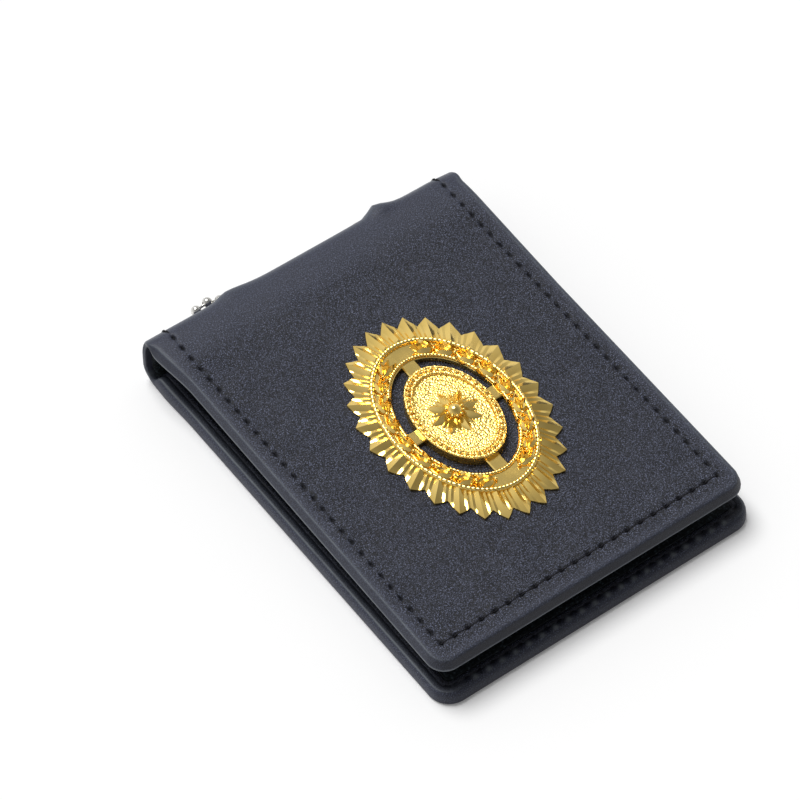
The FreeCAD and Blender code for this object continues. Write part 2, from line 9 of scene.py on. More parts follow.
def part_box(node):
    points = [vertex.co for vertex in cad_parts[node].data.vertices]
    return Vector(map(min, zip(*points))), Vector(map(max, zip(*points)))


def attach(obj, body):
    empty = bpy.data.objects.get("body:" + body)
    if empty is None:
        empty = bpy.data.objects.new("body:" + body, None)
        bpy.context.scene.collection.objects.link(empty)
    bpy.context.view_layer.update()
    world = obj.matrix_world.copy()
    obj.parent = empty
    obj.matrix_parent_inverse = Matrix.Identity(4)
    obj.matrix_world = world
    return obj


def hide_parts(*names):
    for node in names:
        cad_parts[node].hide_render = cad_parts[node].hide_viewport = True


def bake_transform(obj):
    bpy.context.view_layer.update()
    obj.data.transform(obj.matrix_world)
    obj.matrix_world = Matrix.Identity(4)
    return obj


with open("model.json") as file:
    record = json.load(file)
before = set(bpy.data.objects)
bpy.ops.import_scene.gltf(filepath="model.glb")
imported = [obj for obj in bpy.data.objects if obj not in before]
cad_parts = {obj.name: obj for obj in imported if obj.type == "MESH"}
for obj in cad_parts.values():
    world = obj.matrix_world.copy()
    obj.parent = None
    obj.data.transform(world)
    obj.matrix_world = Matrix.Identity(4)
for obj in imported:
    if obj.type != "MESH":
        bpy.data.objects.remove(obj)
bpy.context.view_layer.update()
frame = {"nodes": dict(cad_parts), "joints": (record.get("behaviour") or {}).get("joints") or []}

# Lengths are in millimetres until a mesh is made, in metres
MM = 0.001


def box_mm(node):
    low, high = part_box(node)
    return np.array(low) / MM, np.array(high) / MM


def mesh_points(mesh):
    points = np.empty(len(mesh.vertices) * 3)
    mesh.vertices.foreach_get("co", points)
    return points.reshape(-1, 3)


def node_points(node):
    return mesh_points(frame["nodes"][node].data) / MM


# Sizes read from the frame
spine_low, spine_high = box_mm("spine_leather")
rear_low, rear_high = box_mm("rear_cover")
cover_wide = box_mm("front_cover")[1][0]
rear_wide = rear_high[0]
fold_radius = spine_low[2]
upper_z = spine_high[2]
spine_y = spine_high[1]
leather = spine_y - spine_low[1]
fold_y = spine_y - fold_radius
joints = {joint["name"]: joint for joint in frame["joints"]}
cover_turn = math.radians(joints["cover_fold"]["range_deg"][1])
spine_turn = math.radians(joints["spine_fold"]["range_deg"][1])
tilt = cover_turn - math.pi / 2


def laid_flat(points):
    """Points of the front panel as x, distance from the bend to the front, depth under the outer face."""
    y = points[:, 1] - fold_y
    z = points[:, 2] - upper_z
    along = -(y * math.cos(tilt) + z * math.sin(tilt))
    depth = fold_radius - (z * math.cos(tilt) - y * math.sin(tilt))
    return np.stack([points[:, 0], along, depth], 1)


cover_flat = laid_flat(node_points("front_cover"))
cover_reach = cover_flat[:, 1].max()
cover_deep = cover_flat[:, 2].max()
rear_reach = fold_y - rear_low[1]
rear_deep = box_mm("card_frame")[1][2]

eyelet_low, eyelet_high = box_mm("eyelets")
flange_radius = (eyelet_high[2] - eyelet_low[2]) / 2
eyelet_z = (eyelet_high[2] + eyelet_low[2]) / 2
eyelet_x = eyelet_high[0] - flange_radius
barrel_radius = 1.8
bore_radius = 1.5
eyelet_places = [(-eyelet_x, eyelet_z), (eyelet_x, eyelet_z)]

# Stitching and leather
pitch = 3.2
steps_per_pitch = 10
rear_margin = 2.2
corner_radius = 5.5
corner_zone = 6.2
corner_steps = 10
unroll_limit = 9.0
fold_deep = 1.15
fold_hem = 0.3

# Seam of the two halves on the spine, and the uneven ends of the fold
seam_z = fold_radius + 0.3
fold_left = spine_high[0] + 0.3
fold_right = cover_wide + 0.15
right_swell = cover_wide + 0.65
cover_right_extra = 0.35
left_run = (-1.0, 13.0)
right_run = (-5.5, 1.5)
swell_length = 34.0
carry_margin = 0.9
carry_full = 0.35

# Dips in the left end: depth, place and width
rear_dip = (0.35, -1.0, 4.0)
cover_dip = (0.45, 1.6, 1.8)

# Needle holes: length and width, width of the thread's groove, dent of a hole, painted shade in hole and
# groove
side_marks = (0.62, 0.38, 0.3, 0.55, 1.6, 0.15)
front_marks = (0.52, 0.5, 0.2, 0.55, 1.7, 0.4)
row_end = 0.3


def rise(values, low, high):
    """0 up to low, 1 from high on, straight between them."""
    return np.clip((values - low) / (high - low), 0, 1)


def smooth(values, low, high):
    """0 up to low, 1 from high on, with a soft change between them."""
    t = rise(values, low, high)
    return t * t * (3 - 2 * t)


def hump(values, place, width):
    """1 at the place, falling away softly to both sides."""
    return np.exp(-((values - place) / width) ** 2)


class Half:
    """Half of the leather in flat coordinates: x, distance s from the spine's seam, depth d from outside."""

    def __init__(self, way, turn, wide, reach, deep, hem, hem_width, side_margin, front_margin, crest_front,
                 corner):
        self.way = way
        self.turn = turn
        self.wide = wide
        self.reach = reach
        self.deep = deep
        self.hem = hem
        self.hem_width = hem_width
        self.side_margin = side_margin
        self.front_margin = front_margin
        self.crest_front = crest_front
        self.corner = corner
        self.right_extra = cover_right_extra if way > 0 else 0.0
        self.spine = upper_z - seam_z if way > 0 else seam_z - fold_radius
        self.bend_end = self.spine + fold_radius * turn
        self.end = self.bend_end + reach
        self.row_x = wide - side_margin
        self.row_s = self.end - front_margin
        step = pitch / steps_per_pitch
        self.zone_x = side_margin + step * math.ceil((corner_zone - side_margin) / step)
        self.zone_s = front_margin + step * math.ceil((corner_zone - front_margin) / step)
        last = self.end - self.zone_s
        self.side_s = np.concatenate([[0.0], last - step * np.arange(int(last / step), -1, -1)])
        edge = wide - self.zone_x
        self.front_x = np.linspace(-edge, edge, int(round(2 * edge / step)) + 1)
        self.left_flare, self.right_flare = self.flares()

    def flares(self):
        """How far the left and the right end of the fold stand out past the sides, along them."""
        beyond = self.side_s - self.bend_end
        left = (fold_left - self.wide) * (1 - smooth(beyond, *left_run))
        dip, place, width = cover_dip if self.way > 0 else rear_dip
        bend = self.spine if self.way > 0 else self.bend_end
        left -= dip * hump(self.side_s, bend + place, width)
        past = smooth(beyond, *right_run)
        swell = (right_swell - self.wide) * rise(beyond, swell_length, 0.0)
        right = (fold_right - self.wide) * (1 - past) + (swell + self.right_extra) * past
        return left, right

    def wrap(self, x, s, d):
        """The place in the closed wallet of points in flat coordinates."""
        x, s, d = np.broadcast_arrays(np.asarray(x, float), s, d)
        angle = np.clip((s - self.spine) / fold_radius, 0, self.turn)
        spare = np.minimum(s - self.spine, 0) + np.maximum(s - self.bend_end, 0)
        y = fold_y + (fold_radius - d) * np.cos(angle) - spare * np.sin(angle)
        z = self.spine + (fold_radius - d) * np.sin(angle) + spare * np.cos(angle)
        return np.stack([x, y, seam_z + self.way * z], -1)

    def ring(self, side, fold_side=None):
        """Flat x and s of a line round the two sides and the front, at its inset from the edge."""
        wide = self.wide - side
        far = self.end - self.ahead(side)
        start = self.side_s[-1]
        edge = self.front_x[-1]
        radius = min(max(self.corner_at(side), 0.0), wide - edge, far - start)
        first = far - radius - start
        arc = radius * math.pi / 2
        total = first + arc + wide - radius - edge
        along = np.linspace(0, total, corner_steps + 2)[1:-1]
        turn = np.clip((along - first) / max(radius, 1e-9), 0, math.pi / 2)
        corner_x = wide - radius + radius * np.cos(turn) - np.maximum(along - first - arc, 0)
        corner_s = start + np.minimum(along, first) + radius * np.sin(turn)
        share = self.panel_share(self.side_s)
        lean = side if fold_side is None else fold_side + (side - fold_side) * share
        carry_end = self.side_margin - carry_margin
        carried = rise(lean, carry_end, carry_full)
        left = self.wide - lean + carried * self.left_flare
        right = self.wide - lean + carried * self.right_flare
        shift = self.right_extra * rise(side, carry_end, carry_full)
        x = np.concatenate([-left, -corner_x, self.front_x, corner_x[::-1] + shift, right[::-1]])
        front_s = np.full(len(self.front_x), far)
        s = np.concatenate([self.side_s, corner_s, front_s, corner_s[::-1], self.side_s[::-1]])
        return x, s

    def ahead(self, side):
        """The front inset that goes with a side inset, so that one line follows the stitching."""
        return np.interp(side, [-unroll_limit, 0.0, 1.0, self.side_margin, self.zone_x],
                         [-unroll_limit, 0.0, self.crest_front, self.front_margin, self.zone_s])

    def corner_at(self, side):
        """The radius of the corner of a line at its inset from the edge."""
        return float(np.interp(side, [-unroll_limit, 0.0, self.side_margin, self.zone_x],
                               [self.corner + unroll_limit, self.corner, 1.0, 0.0]))

    def panel_share(self, s):
        """0 in the fold and 1 on the panel."""
        return smooth(s, self.bend_end - 2.4, self.bend_end + 1.2)

    def pits(self, x, s, groove_side, groove_front):
        """How far the needle holes and the thread's groove dent the leather, and how much painted shade
        darkens them.
        """
        def row(off, along, near, groove, marks):
            long, wide, line_wide, hole_dent, hole_painted_shade, groove_painted_shade = marks
            step = (along + pitch / 2) % pitch - pitch / 2
            hole = hump(step, 0, long) * hump(off, 0, wide) * near
            line = hump(off, 0, line_wide) * near
            return hole_dent * hole + groove * line, hole_painted_shade * hole + groove_painted_shade * line

        across = np.abs(x) - self.row_x
        ahead = s - self.row_s
        dent, dark = row(across, ahead, rise(ahead, row_end, 0.0), groove_side, side_marks)
        near_front = rise(across, row_end, 0.0)
        dent_front, dark_front = row(ahead, x - self.row_x, near_front, groove_front, front_marks)
        return np.maximum(dent, dent_front), np.clip(np.maximum(dark, dark_front), 0, 1)

    def beat(self):
        """1 at every needle hole and 0 halfway between two, along the sides and the front of a ring."""
        side = 0.5 + 0.5 * np.cos(2 * math.pi * (self.side_s - self.row_s) / pitch)
        front = 0.5 + 0.5 * np.cos(2 * math.pi * (self.front_x - self.row_x) / pitch)
        corner = np.full(corner_steps, 0.5)
        return np.concatenate([side, corner, front, corner, side[::-1]])

    def ahead_share(self):
        """0 on the sides of a ring, 1 along its front."""
        corner = np.linspace(0, 1, corner_steps)
        side = np.zeros(len(self.side_s))
        return np.concatenate([side, corner, np.ones(len(self.front_x)), corner[::-1], side])


cover = Half(way=1, turn=cover_turn, wide=cover_wide, reach=cover_reach, deep=cover_deep, hem=0.8,
             hem_width=6.0, side_margin=3.9, front_margin=4.85, crest_front=1.0, corner=4.0)
rear = Half(way=-1, turn=spine_turn, wide=rear_wide, reach=rear_reach, deep=rear_deep - 0.3, hem=1.0,
            hem_width=3.3, side_margin=rear_margin, front_margin=rear_margin, crest_front=1.6, corner=4.7)


def lattice(rows, columns, rows_close=False, columns_close=False):
    """Four-sided faces between the points of a grid, row by row; either way may close on itself."""
    faces = []
    for i in range(rows if rows_close else rows - 1):
        after = (i + 1) % rows
        for k in range(columns if columns_close else columns - 1):
            j = (k + 1) % columns
            faces.append([i * columns + k, i * columns + j, after * columns + j, after * columns + k])
    return faces


def slab_faces(rows, columns):
    """Faces of a closed slab: a grid of points, as many again on its other side, and the rim between them."""
    size = rows * columns
    top = lattice(rows, columns)
    rim = [i * columns for i in range(rows)] + [(rows - 1) * columns + k for k in range(1, columns)]
    rim += [i * columns + columns - 1 for i in range(rows - 2, -1, -1)] + list(range(columns - 2, 0, -1))
    under = [[p + size for p in face[::-1]] for face in top]
    return top + under + [[a, b, b + size, a + size] for a, b in zip(rim, rim[1:] + rim[:1])]


def turns(count):
    """Equal steps once round."""
    return [2 * math.pi * k / count for k in range(count)]


class Shape:
    """Points in millimetres, faces and values per point, gathered piece by piece."""

    def __init__(self):
        self.points = []
        self.faces = []
        self.flat = []
        self.values = {"wear": [], "grain": [], "painted_shade": []}

    def add(self, points, faces=(), flat=None, wear=0.0, grain=1.0, painted_shade=0.0):
        points = np.asarray(points, float).reshape(-1, 3)
        base = len(self.points)
        self.points.extend(points.tolist())
        self.flat.extend((points[:, :2] if flat is None else np.asarray(flat).reshape(-1, 2)).tolist())
        for key, value in (("wear", wear), ("grain", grain), ("painted_shade", painted_shade)):
            self.values[key].extend(np.broadcast_to(value, len(points)).tolist())
        self.faces.extend([[base + i for i in face] for face in faces])
        return base


def merged(points, faces):
    """Drops repeated points and the faces that they leave without area."""
    keys = {}
    where = [keys.setdefault(tuple(np.round(p, 5)), len(keys)) for p in points]
    kept = []
    for face in faces:
        loop = [where[i] for i in face]
        loop = [a for a, b in zip(loop, loop[1:] + loop[:1]) if a != b]
        if len(set(loop)) > 2:
            kept.append(loop)
    first = {}
    for old, new in enumerate(where):
        first.setdefault(new, old)
    return [first[i] for i in range(len(keys))], kept


# Length of the leather that one unit of its UV map covers
uv_span = 100


def make_piece(name, shape, material, close=False):
    """A smooth mesh object of a shape, with its open rims filled if it is to close."""
    order, faces = merged(shape.points, shape.faces)
    points = np.array(shape.points)[order]
    flat = np.array(shape.flat)[order]
    mesh = bpy.data.meshes.new(name)
    mesh.from_pydata((points * MM).tolist(), [], faces)
    for key, values in shape.values.items():
        layer = mesh.attributes.new(key, "FLOAT", "POINT")
        layer.data.foreach_set("value", np.array(values, np.float32)[order])
    uv = mesh.uv_layers.new(name="UVMap")
    corners = np.empty(len(mesh.loops), np.int32)
    mesh.loops.foreach_get("vertex_index", corners)
    uv.data.foreach_set("uv", (flat[corners] / uv_span).astype(np.float32).ravel())
    work = bmesh.new()
    work.from_mesh(mesh)
    if close:
        rim = [edge for edge in work.edges if edge.is_boundary]
        bmesh.ops.holes_fill(work, edges=rim, sides=0)
    bmesh.ops.recalc_face_normals(work, faces=work.faces)
    work.to_mesh(mesh)
    work.free()
    mesh.polygons.foreach_set("use_smooth", [True] * len(mesh.polygons))
    mesh.materials.append(material)
    piece = bpy.data.objects.new(name, mesh)
    bpy.context.scene.collection.objects.link(piece)
    return piece


def cut_eyelet_holes(piece, spare=0.03, reach=4.0, sides=40):
    """Cuts the round holes of the eyelets through a piece, along Y."""
    tools = bmesh.new()
    radius = (barrel_radius + spare) * MM
    for x, z in eyelet_places:
        made = bmesh.ops.create_cone(tools, cap_ends=True, segments=sides, radius1=radius, radius2=radius,
                                     depth=2 * reach * MM)
        for v in made["verts"]:
            v.co = Vector((v.co.x + x * MM, v.co.z + spine_y * MM, v.co.y + z * MM))
    bmesh.ops.recalc_face_normals(tools, faces=tools.faces)
    mesh = bpy.data.meshes.new("cutter")
    tools.to_mesh(mesh)
    tools.free()
    cutter = bpy.data.objects.new("cutter", mesh)
    bpy.context.scene.collection.objects.link(cutter)
    step = piece.modifiers.new("holes", "BOOLEAN")
    step.operation = "DIFFERENCE"
    step.solver = "EXACT"
    step.object = cutter
    bpy.context.view_layer.update()
    cut = bpy.data.meshes.new_from_object(piece.evaluated_get(bpy.context.evaluated_depsgraph_get()))
    piece.modifiers.clear()
    name = piece.data.name
    piece.data = cut
    cut.name = name
    bpy.data.objects.remove(cutter)


def metres(*point):
    return tuple(c * MM for c in point)


def bend_cover(piece):
    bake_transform(piece)


def bend_rear(piece):
    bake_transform(piece)


def assign(piece, body, slot, *nodes):
    """What a piece moves with (a body, or its transform baked in place) and what it stands for; the slot
    argument is not used.
    """
    if callable(body):
        body(piece)
    else:
        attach(piece, body)
    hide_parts(*nodes)
    return piece


# Node materials
class Nodes:
    """The nodes of a material or of the world, made and joined by short calls."""

    def __init__(self, owner):
        owner.use_nodes = True
        self.owner = owner
        self.tree = owner.node_tree
        self.shader = self.tree.nodes.get("Principled BSDF")

    def feed(self, socket, value):
        """Joins a socket to another one or sets its value."""
        if isinstance(value, bpy.types.NodeSocket):
            self.tree.links.new(value, socket)
        else:
            socket.default_value = (*value, 1) if socket.type == "RGBA" else value

    def node(self, kind, **values):
        made = self.tree.nodes.new("ShaderNode" + kind)
        for key, value in values.items():
            name = key.replace("_", " ")
            if name in made.inputs:
                self.feed(made.inputs[name], value)
            else:
                setattr(made, key, value)
        return made

    def attribute(self, name):
        return self.node("Attribute", attribute_name=name).outputs["Fac"]

    def ramp(self, source, *stops):
        made = self.node("ValToRGB", Fac=source)
        for element, (place, colour) in zip(made.color_ramp.elements, stops):
            element.position = place
            element.color = (*colour, 1)
        return made.outputs["Color"]

    def spread(self, source, low, high, to_low, to_high):
        made = self.node("MapRange", Value=source, From_Min=low, From_Max=high, To_Min=to_low, To_Max=to_high)
        return made.outputs["Result"]

    def math(self, operation, a, b):
        made = self.node("Math", operation=operation)
        for socket, value in zip(made.inputs, (a, b)):
            self.feed(socket, value)
        return made.outputs[0]

    def mix(self, factor, a, b):
        made = self.node("Mix", data_type="RGBA")
        for socket, value in zip((made.inputs[0], made.inputs[6], made.inputs[7]), (factor, a, b)):
            self.feed(socket, value)
        return made.outputs[2]

    def bump(self, height, strength, distance_mm):
        made = self.node("Bump", Distance=distance_mm * MM, Strength=strength, Height=height)
        return made.outputs["Normal"]

    def set(self, **values):
        for key, value in values.items():
            self.feed(self.shader.inputs[key.replace("_", " ")], value)


def new_material(name):
    return Nodes(bpy.data.materials.new(name))


def scaled(colour, share):
    return tuple(share * c for c in colour)


def leather_material(name, low, high, worn_and_highlit, grain_mm, strength, roughness, shine):
    """Fine pebbled leather: small cells with dark pores, larger tone changes, lighter worn edges that also
    carry painted highlights, and painted shade.
    """
    m = new_material(name)
    place = m.node("UVMap", uv_map="UVMap").outputs["UV"]
    cells = m.node("TexVoronoi", feature="SMOOTH_F1", Vector=place, Scale=uv_span / grain_mm, Smoothness=0.3,
                   Randomness=1.0).outputs["Distance"]
    fine = m.node("TexNoise", Vector=place, Scale=uv_span / (grain_mm * 1.3), Detail=2.0).outputs["Fac"]
    broad = m.node("TexNoise", Vector=place, Scale=uv_span / 14.0, Detail=3.0).outputs["Fac"]
    patch = m.node("TexNoise", Vector=place, Scale=uv_span / 5.0, Detail=2.0).outputs["Fac"]
    grain = m.attribute("grain")
    tone = m.ramp(broad, (0.3, low), (0.7, high))
    crown = m.math("MULTIPLY", m.spread(fine, 0.5, 0.6, 0.0, 0.95), grain)
    tone = m.mix(crown, tone, scaled(high, 3.5))
    pore = m.math("MULTIPLY", m.spread(cells, 0.27, 0.55, 0.0, 1.0), grain)
    tone = m.mix(pore, tone, scaled(low, 0.15))
    tone = m.mix(m.spread(grain, 0.3, 1.0, 0.2, 0.0), tone, scaled(low, 0.2))
    # Lighter where rubbed, and painted highlight: lines on edge roundings, glints between stitches and a band
    # along the fold.
    rubbed_and_highlit = m.math("MULTIPLY", m.attribute("wear"), m.spread(patch, 0.3, 0.7, 0.6, 1.0))
    tone = m.mix(rubbed_and_highlit, tone, worn_and_highlit)
    # Painted shade darkens the base colour: needle holes and grooves, edge walls turned from the light, and
    # the valley under the cover.
    m.set(Base_Color=m.mix(m.attribute("painted_shade"), tone, scaled(low, 0.12)), Specular_IOR_Level=shine)
    m.set(Roughness=m.spread(broad, 0.3, 0.7, roughness - 0.05, roughness + 0.06))
    height = m.math("ADD", m.math("MULTIPLY", cells, -1.0), m.math("MULTIPLY", fine, 0.8))
    patchy = m.spread(patch, 0.35, 0.65, 0.7 * strength, strength)
    m.set(Normal=m.bump(height, m.math("MULTIPLY", grain, patchy), 0.14))
    return m.owner


def metal_material(name, colour, dark, roughness, stipple_mm=None, depth_mm=0.0):
    """Plated metal with faint handling marks, polished or evenly stippled."""
    m = new_material(name)
    place = m.node("TexCoord").outputs["Object"]
    smudge = m.node("TexNoise", Vector=place, Scale=1 / (4.0 * MM), Detail=4.0).outputs["Fac"]
    m.set(Metallic=1.0, Base_Color=m.mix(m.spread(smudge, 0.35, 0.75, 0.0, 0.35), colour, dark))
    m.set(Roughness=m.spread(smudge, 0.3, 0.7, roughness, roughness + 0.07))
    if stipple_mm:
        dots = m.node("TexVoronoi", feature="F1", Vector=place, Scale=1 / (stipple_mm * MM))
        height = m.math("MULTIPLY", dots.outputs["Distance"], -1.0)
        m.set(Normal=m.bump(height, strength=0.9, distance_mm=depth_mm))
    return m.owner


def thread_material():
    m = new_material("waxed_thread")
    place = m.node("UVMap", uv_map="UVMap").outputs["UV"]
    twist = m.node("TexWave", Vector=place, Scale=uv_span / 1.2, Distortion=1.0, bands_direction="DIAGONAL")
    twist = twist.outputs["Fac"]
    m.set(Base_Color=m.ramp(twist, (0.2, (0.006, 0.006, 0.008)), (0.9, (0.02, 0.02, 0.024))))
    m.set(Roughness=0.65, Specular_IOR_Level=0.15, Normal=m.bump(twist, 0.4, 0.08))
    return m.owner


def film_material():
    m = new_material("clear_film")
    place = m.node("TexCoord").outputs["Object"]
    ripple = m.node("TexNoise", Vector=place, Scale=1 / (9.0 * MM), Detail=1.0).outputs["Fac"]
    m.set(Base_Color=(0.9, 0.93, 0.95), Transmission_Weight=0.95, IOR=1.45)
    m.set(Roughness=m.spread(ripple, 0.3, 0.7, 0.03, 0.09), Normal=m.bump(ripple, 0.15, 0.4))
    return m.owner


def fibre_material(name, low, high, scale_mm, roughness):
    """Pressed fibres, for the stiffening boards and the felt."""
    m = new_material(name)
    place = m.node("TexCoord").outputs["Object"]
    fibres = m.node("TexNoise", Vector=place, Scale=1 / (scale_mm * MM), Detail=6.0, Distortion=1.2)
    fibres = fibres.outputs["Fac"]
    m.set(Base_Color=m.ramp(fibres, (0.3, low), (0.7, high)), Roughness=roughness)
    m.set(Normal=m.bump(fibres, 0.5, 0.1))
    return m.owner


cover_leather = leather_material("cover_leather", low=(0.045, 0.050, 0.076), high=(0.058, 0.065, 0.097),
                                 worn_and_highlit=(0.18, 0.20, 0.22), grain_mm=0.22, strength=0.9, roughness=0.48,
                                 shine=0.25)
lining_leather = leather_material("lining_leather", low=(0.010, 0.0145, 0.018), high=(0.018, 0.025, 0.030),
                                  worn_and_highlit=(0.03, 0.034, 0.039), grain_mm=0.5, strength=0.3, roughness=0.6,
                                  shine=0.15)
thread = thread_material()
nickel = metal_material("bright_nickel", (0.74, 0.73, 0.70), (0.52, 0.51, 0.48), roughness=0.14)
gilt = metal_material("polished_gilt", (1.0, 0.73, 0.23), (0.95, 0.60, 0.12), roughness=0.13)
gilt_stippled = metal_material("stippled_gilt", (1.0, 0.71, 0.21), (0.92, 0.57, 0.11), roughness=0.22,
                               stipple_mm=0.45, depth_mm=0.16)
spring_steel = metal_material("spring_steel", (0.42, 0.42, 0.43), (0.3, 0.3, 0.31), roughness=0.3)
film = film_material()
board = fibre_material("fibre_board", (0.20, 0.165, 0.12), (0.34, 0.29, 0.22), scale_mm=0.8, roughness=0.85)
felt = fibre_material("felt_padding", (0.10, 0.10, 0.105), (0.2, 0.2, 0.21), scale_mm=0.5, roughness=0.95)


# Leather of the two halves; a bump over each eyelet has a place, a height and a width to each side
fold_bumps = ((-18.5, 0.95, 2.2, 5.5), (eyelet_x + 1.4, 1.6, 1.7, 3.6))
droop_deep = 0.65
droop_reach = 4.0
wave_high = 0.05
wave_length = 17.0


def fold_bump(half, x, s):
    """The leather stands out a little over each eyelet and sinks at the right end of the bend."""
    if half.way < 0:
        return np.zeros_like(s)
    window = np.sin(math.pi * rise(s, half.spine, half.bend_end)) ** 2
    total = np.zeros_like(s)
    for place, high, left, right in fold_bumps:
        total = total + high * hump(x, place, np.where(x < place, left, right))
    droop = droop_deep * hump(x, cover_wide + 1, droop_reach) * hump(s, half.bend_end - 1, droop_reach)
    return window * total - droop


def fold_wear_and_sheen(half, s):
    """The leather is lighter along the bend: rubbing, and a painted highlight for the light band the fold
    catches.
    """
    return 0.6 * hump((s - half.spine) / (half.bend_end - half.spine), 0.42, 0.2)


def soft_wave(x, s):
    """The faint unevenness of leather over board."""
    places = [Vector((a / wave_length, b / wave_length, 0.3)) for a, b in zip(x, s)]
    return np.array([wave_high * noise.noise(place) for place in places])


def grain_share(half, x, s):
    """Full grain on the panel, smoother over the fold and by the edges."""
    fold = rise(s, half.bend_end - 1, half.bend_end + 9)
    side = rise(half.wide - np.abs(x), 0, 3)
    ahead = rise(half.end - s, 0, 3)
    return (0.3 + 0.7 * fold) * (0.4 + 0.6 * np.minimum(side, ahead))


# Lines beside the stitching, as distances from it, and nearer the edge, as insets
row_steps = (0.9, 0.6, 0.42, 0.28, 0.14, 0.0, -0.14, -0.28, -0.42, -0.6, -0.9)
border_insets = (2.4, 1.7)
line_gap = 0.15
row_gap = 0.2

# Edge profiles: inset and depth on the panel and in the fold, wear and painted highlight on sides and front,
# painted shade on sides and front
cover_edge = (
    (1.30, 0.00, 0.35, 0.00, 0.00, 0.00, 0.0, 0.0), (1.00, 0.04, 0.22, 0.03, 0.10, 0.00, 0.0, 0.1),
    (0.80, 0.13, 0.10, 0.10, 0.75, 0.15, 0.0, 0.2), (0.66, 0.30, 0.03, 0.22, 0.15, 0.00, 0.0, 0.4),
    (0.52, 0.65, 0.00, 0.35, 0.00, 0.00, 0.2, 0.7), (0.34, 1.25, 0.00, 0.50, 0.00, 0.00, 0.2, 0.7),
    (0.13, 1.90, 0.00, 0.65, 0.00, 0.00, 0.2, 0.7), (0.04, 2.18, 0.00, 0.73, 0.10, 0.05, 0.1, 0.6),
    (0.00, 2.38, 0.00, 0.80, 0.95, 0.55, 0.0, 0.1), (0.00, 2.60, 0.00, 0.86, 1.00, 0.65, 0.0, 0.0),
    (0.04, 2.77, 0.03, 0.95, 0.80, 0.60, 0.0, 0.0), (0.13, 2.90, 0.10, 1.05, 0.50, 0.40, 0.2, 0.3),
    (0.28, 2.98, 0.22, 1.12, 0.00, 0.00, 0.5, 0.8), (0.45, 3.00, 0.35, fold_deep, 0.00, 0.00, 0.5, 0.8))
rear_edge = (
    (0.60, 0.00, 0.35, 0.00, 0.00, 0.00, 0.0, 0.3), (0.33, 0.03, 0.22, 0.03, 0.00, 0.00, 0.0, 0.4),
    (0.13, 0.13, 0.10, 0.10, 0.00, 0.00, 0.0, 0.4), (0.03, 0.30, 0.03, 0.22, 0.00, 0.00, 0.0, 0.4),
    (0.00, 0.55, 0.00, 0.35, 0.00, 0.00, 0.0, 0.4), (0.00, 1.10, 0.00, 0.50, 0.00, 0.00, 0.0, 0.4),
    (0.03, 1.65, 0.00, 0.65, 0.00, 0.00, 0.0, 0.4), (0.11, 2.20, 0.00, 0.80, 0.00, 0.00, 0.0, 0.4),
    (0.27, 2.68, 0.03, 0.93, 0.00, 0.00, 0.0, 0.4), (0.50, 3.05, 0.10, 1.02, 0.05, 0.00, 0.0, 0.3),
    (0.75, 3.27, 0.20, 1.10, 1.00, 0.80, 0.0, 0.2), (1.00, 3.35, 0.35, fold_deep, 0.20, 1.00, 0.2, 0.0))
plain_wear_and_light = (0.0, 0.0, 0.0, 0.0)
# Painted shade over the valley inside the rear's stitching, which lies under the cover.
valley_painted_shade = (0.0, 0.0, 0.6, 0.85)
# Strength of a painted highlight line along the right edge of the top face
right_highlight_line = 0.3
scallop_inset = 0.4
scallop_fall = 0.15
valley_fall = 0.45
valley_reach = 1.15
hem_start = 1.2
rim_wide = 0.1
rim_fall = 0.12


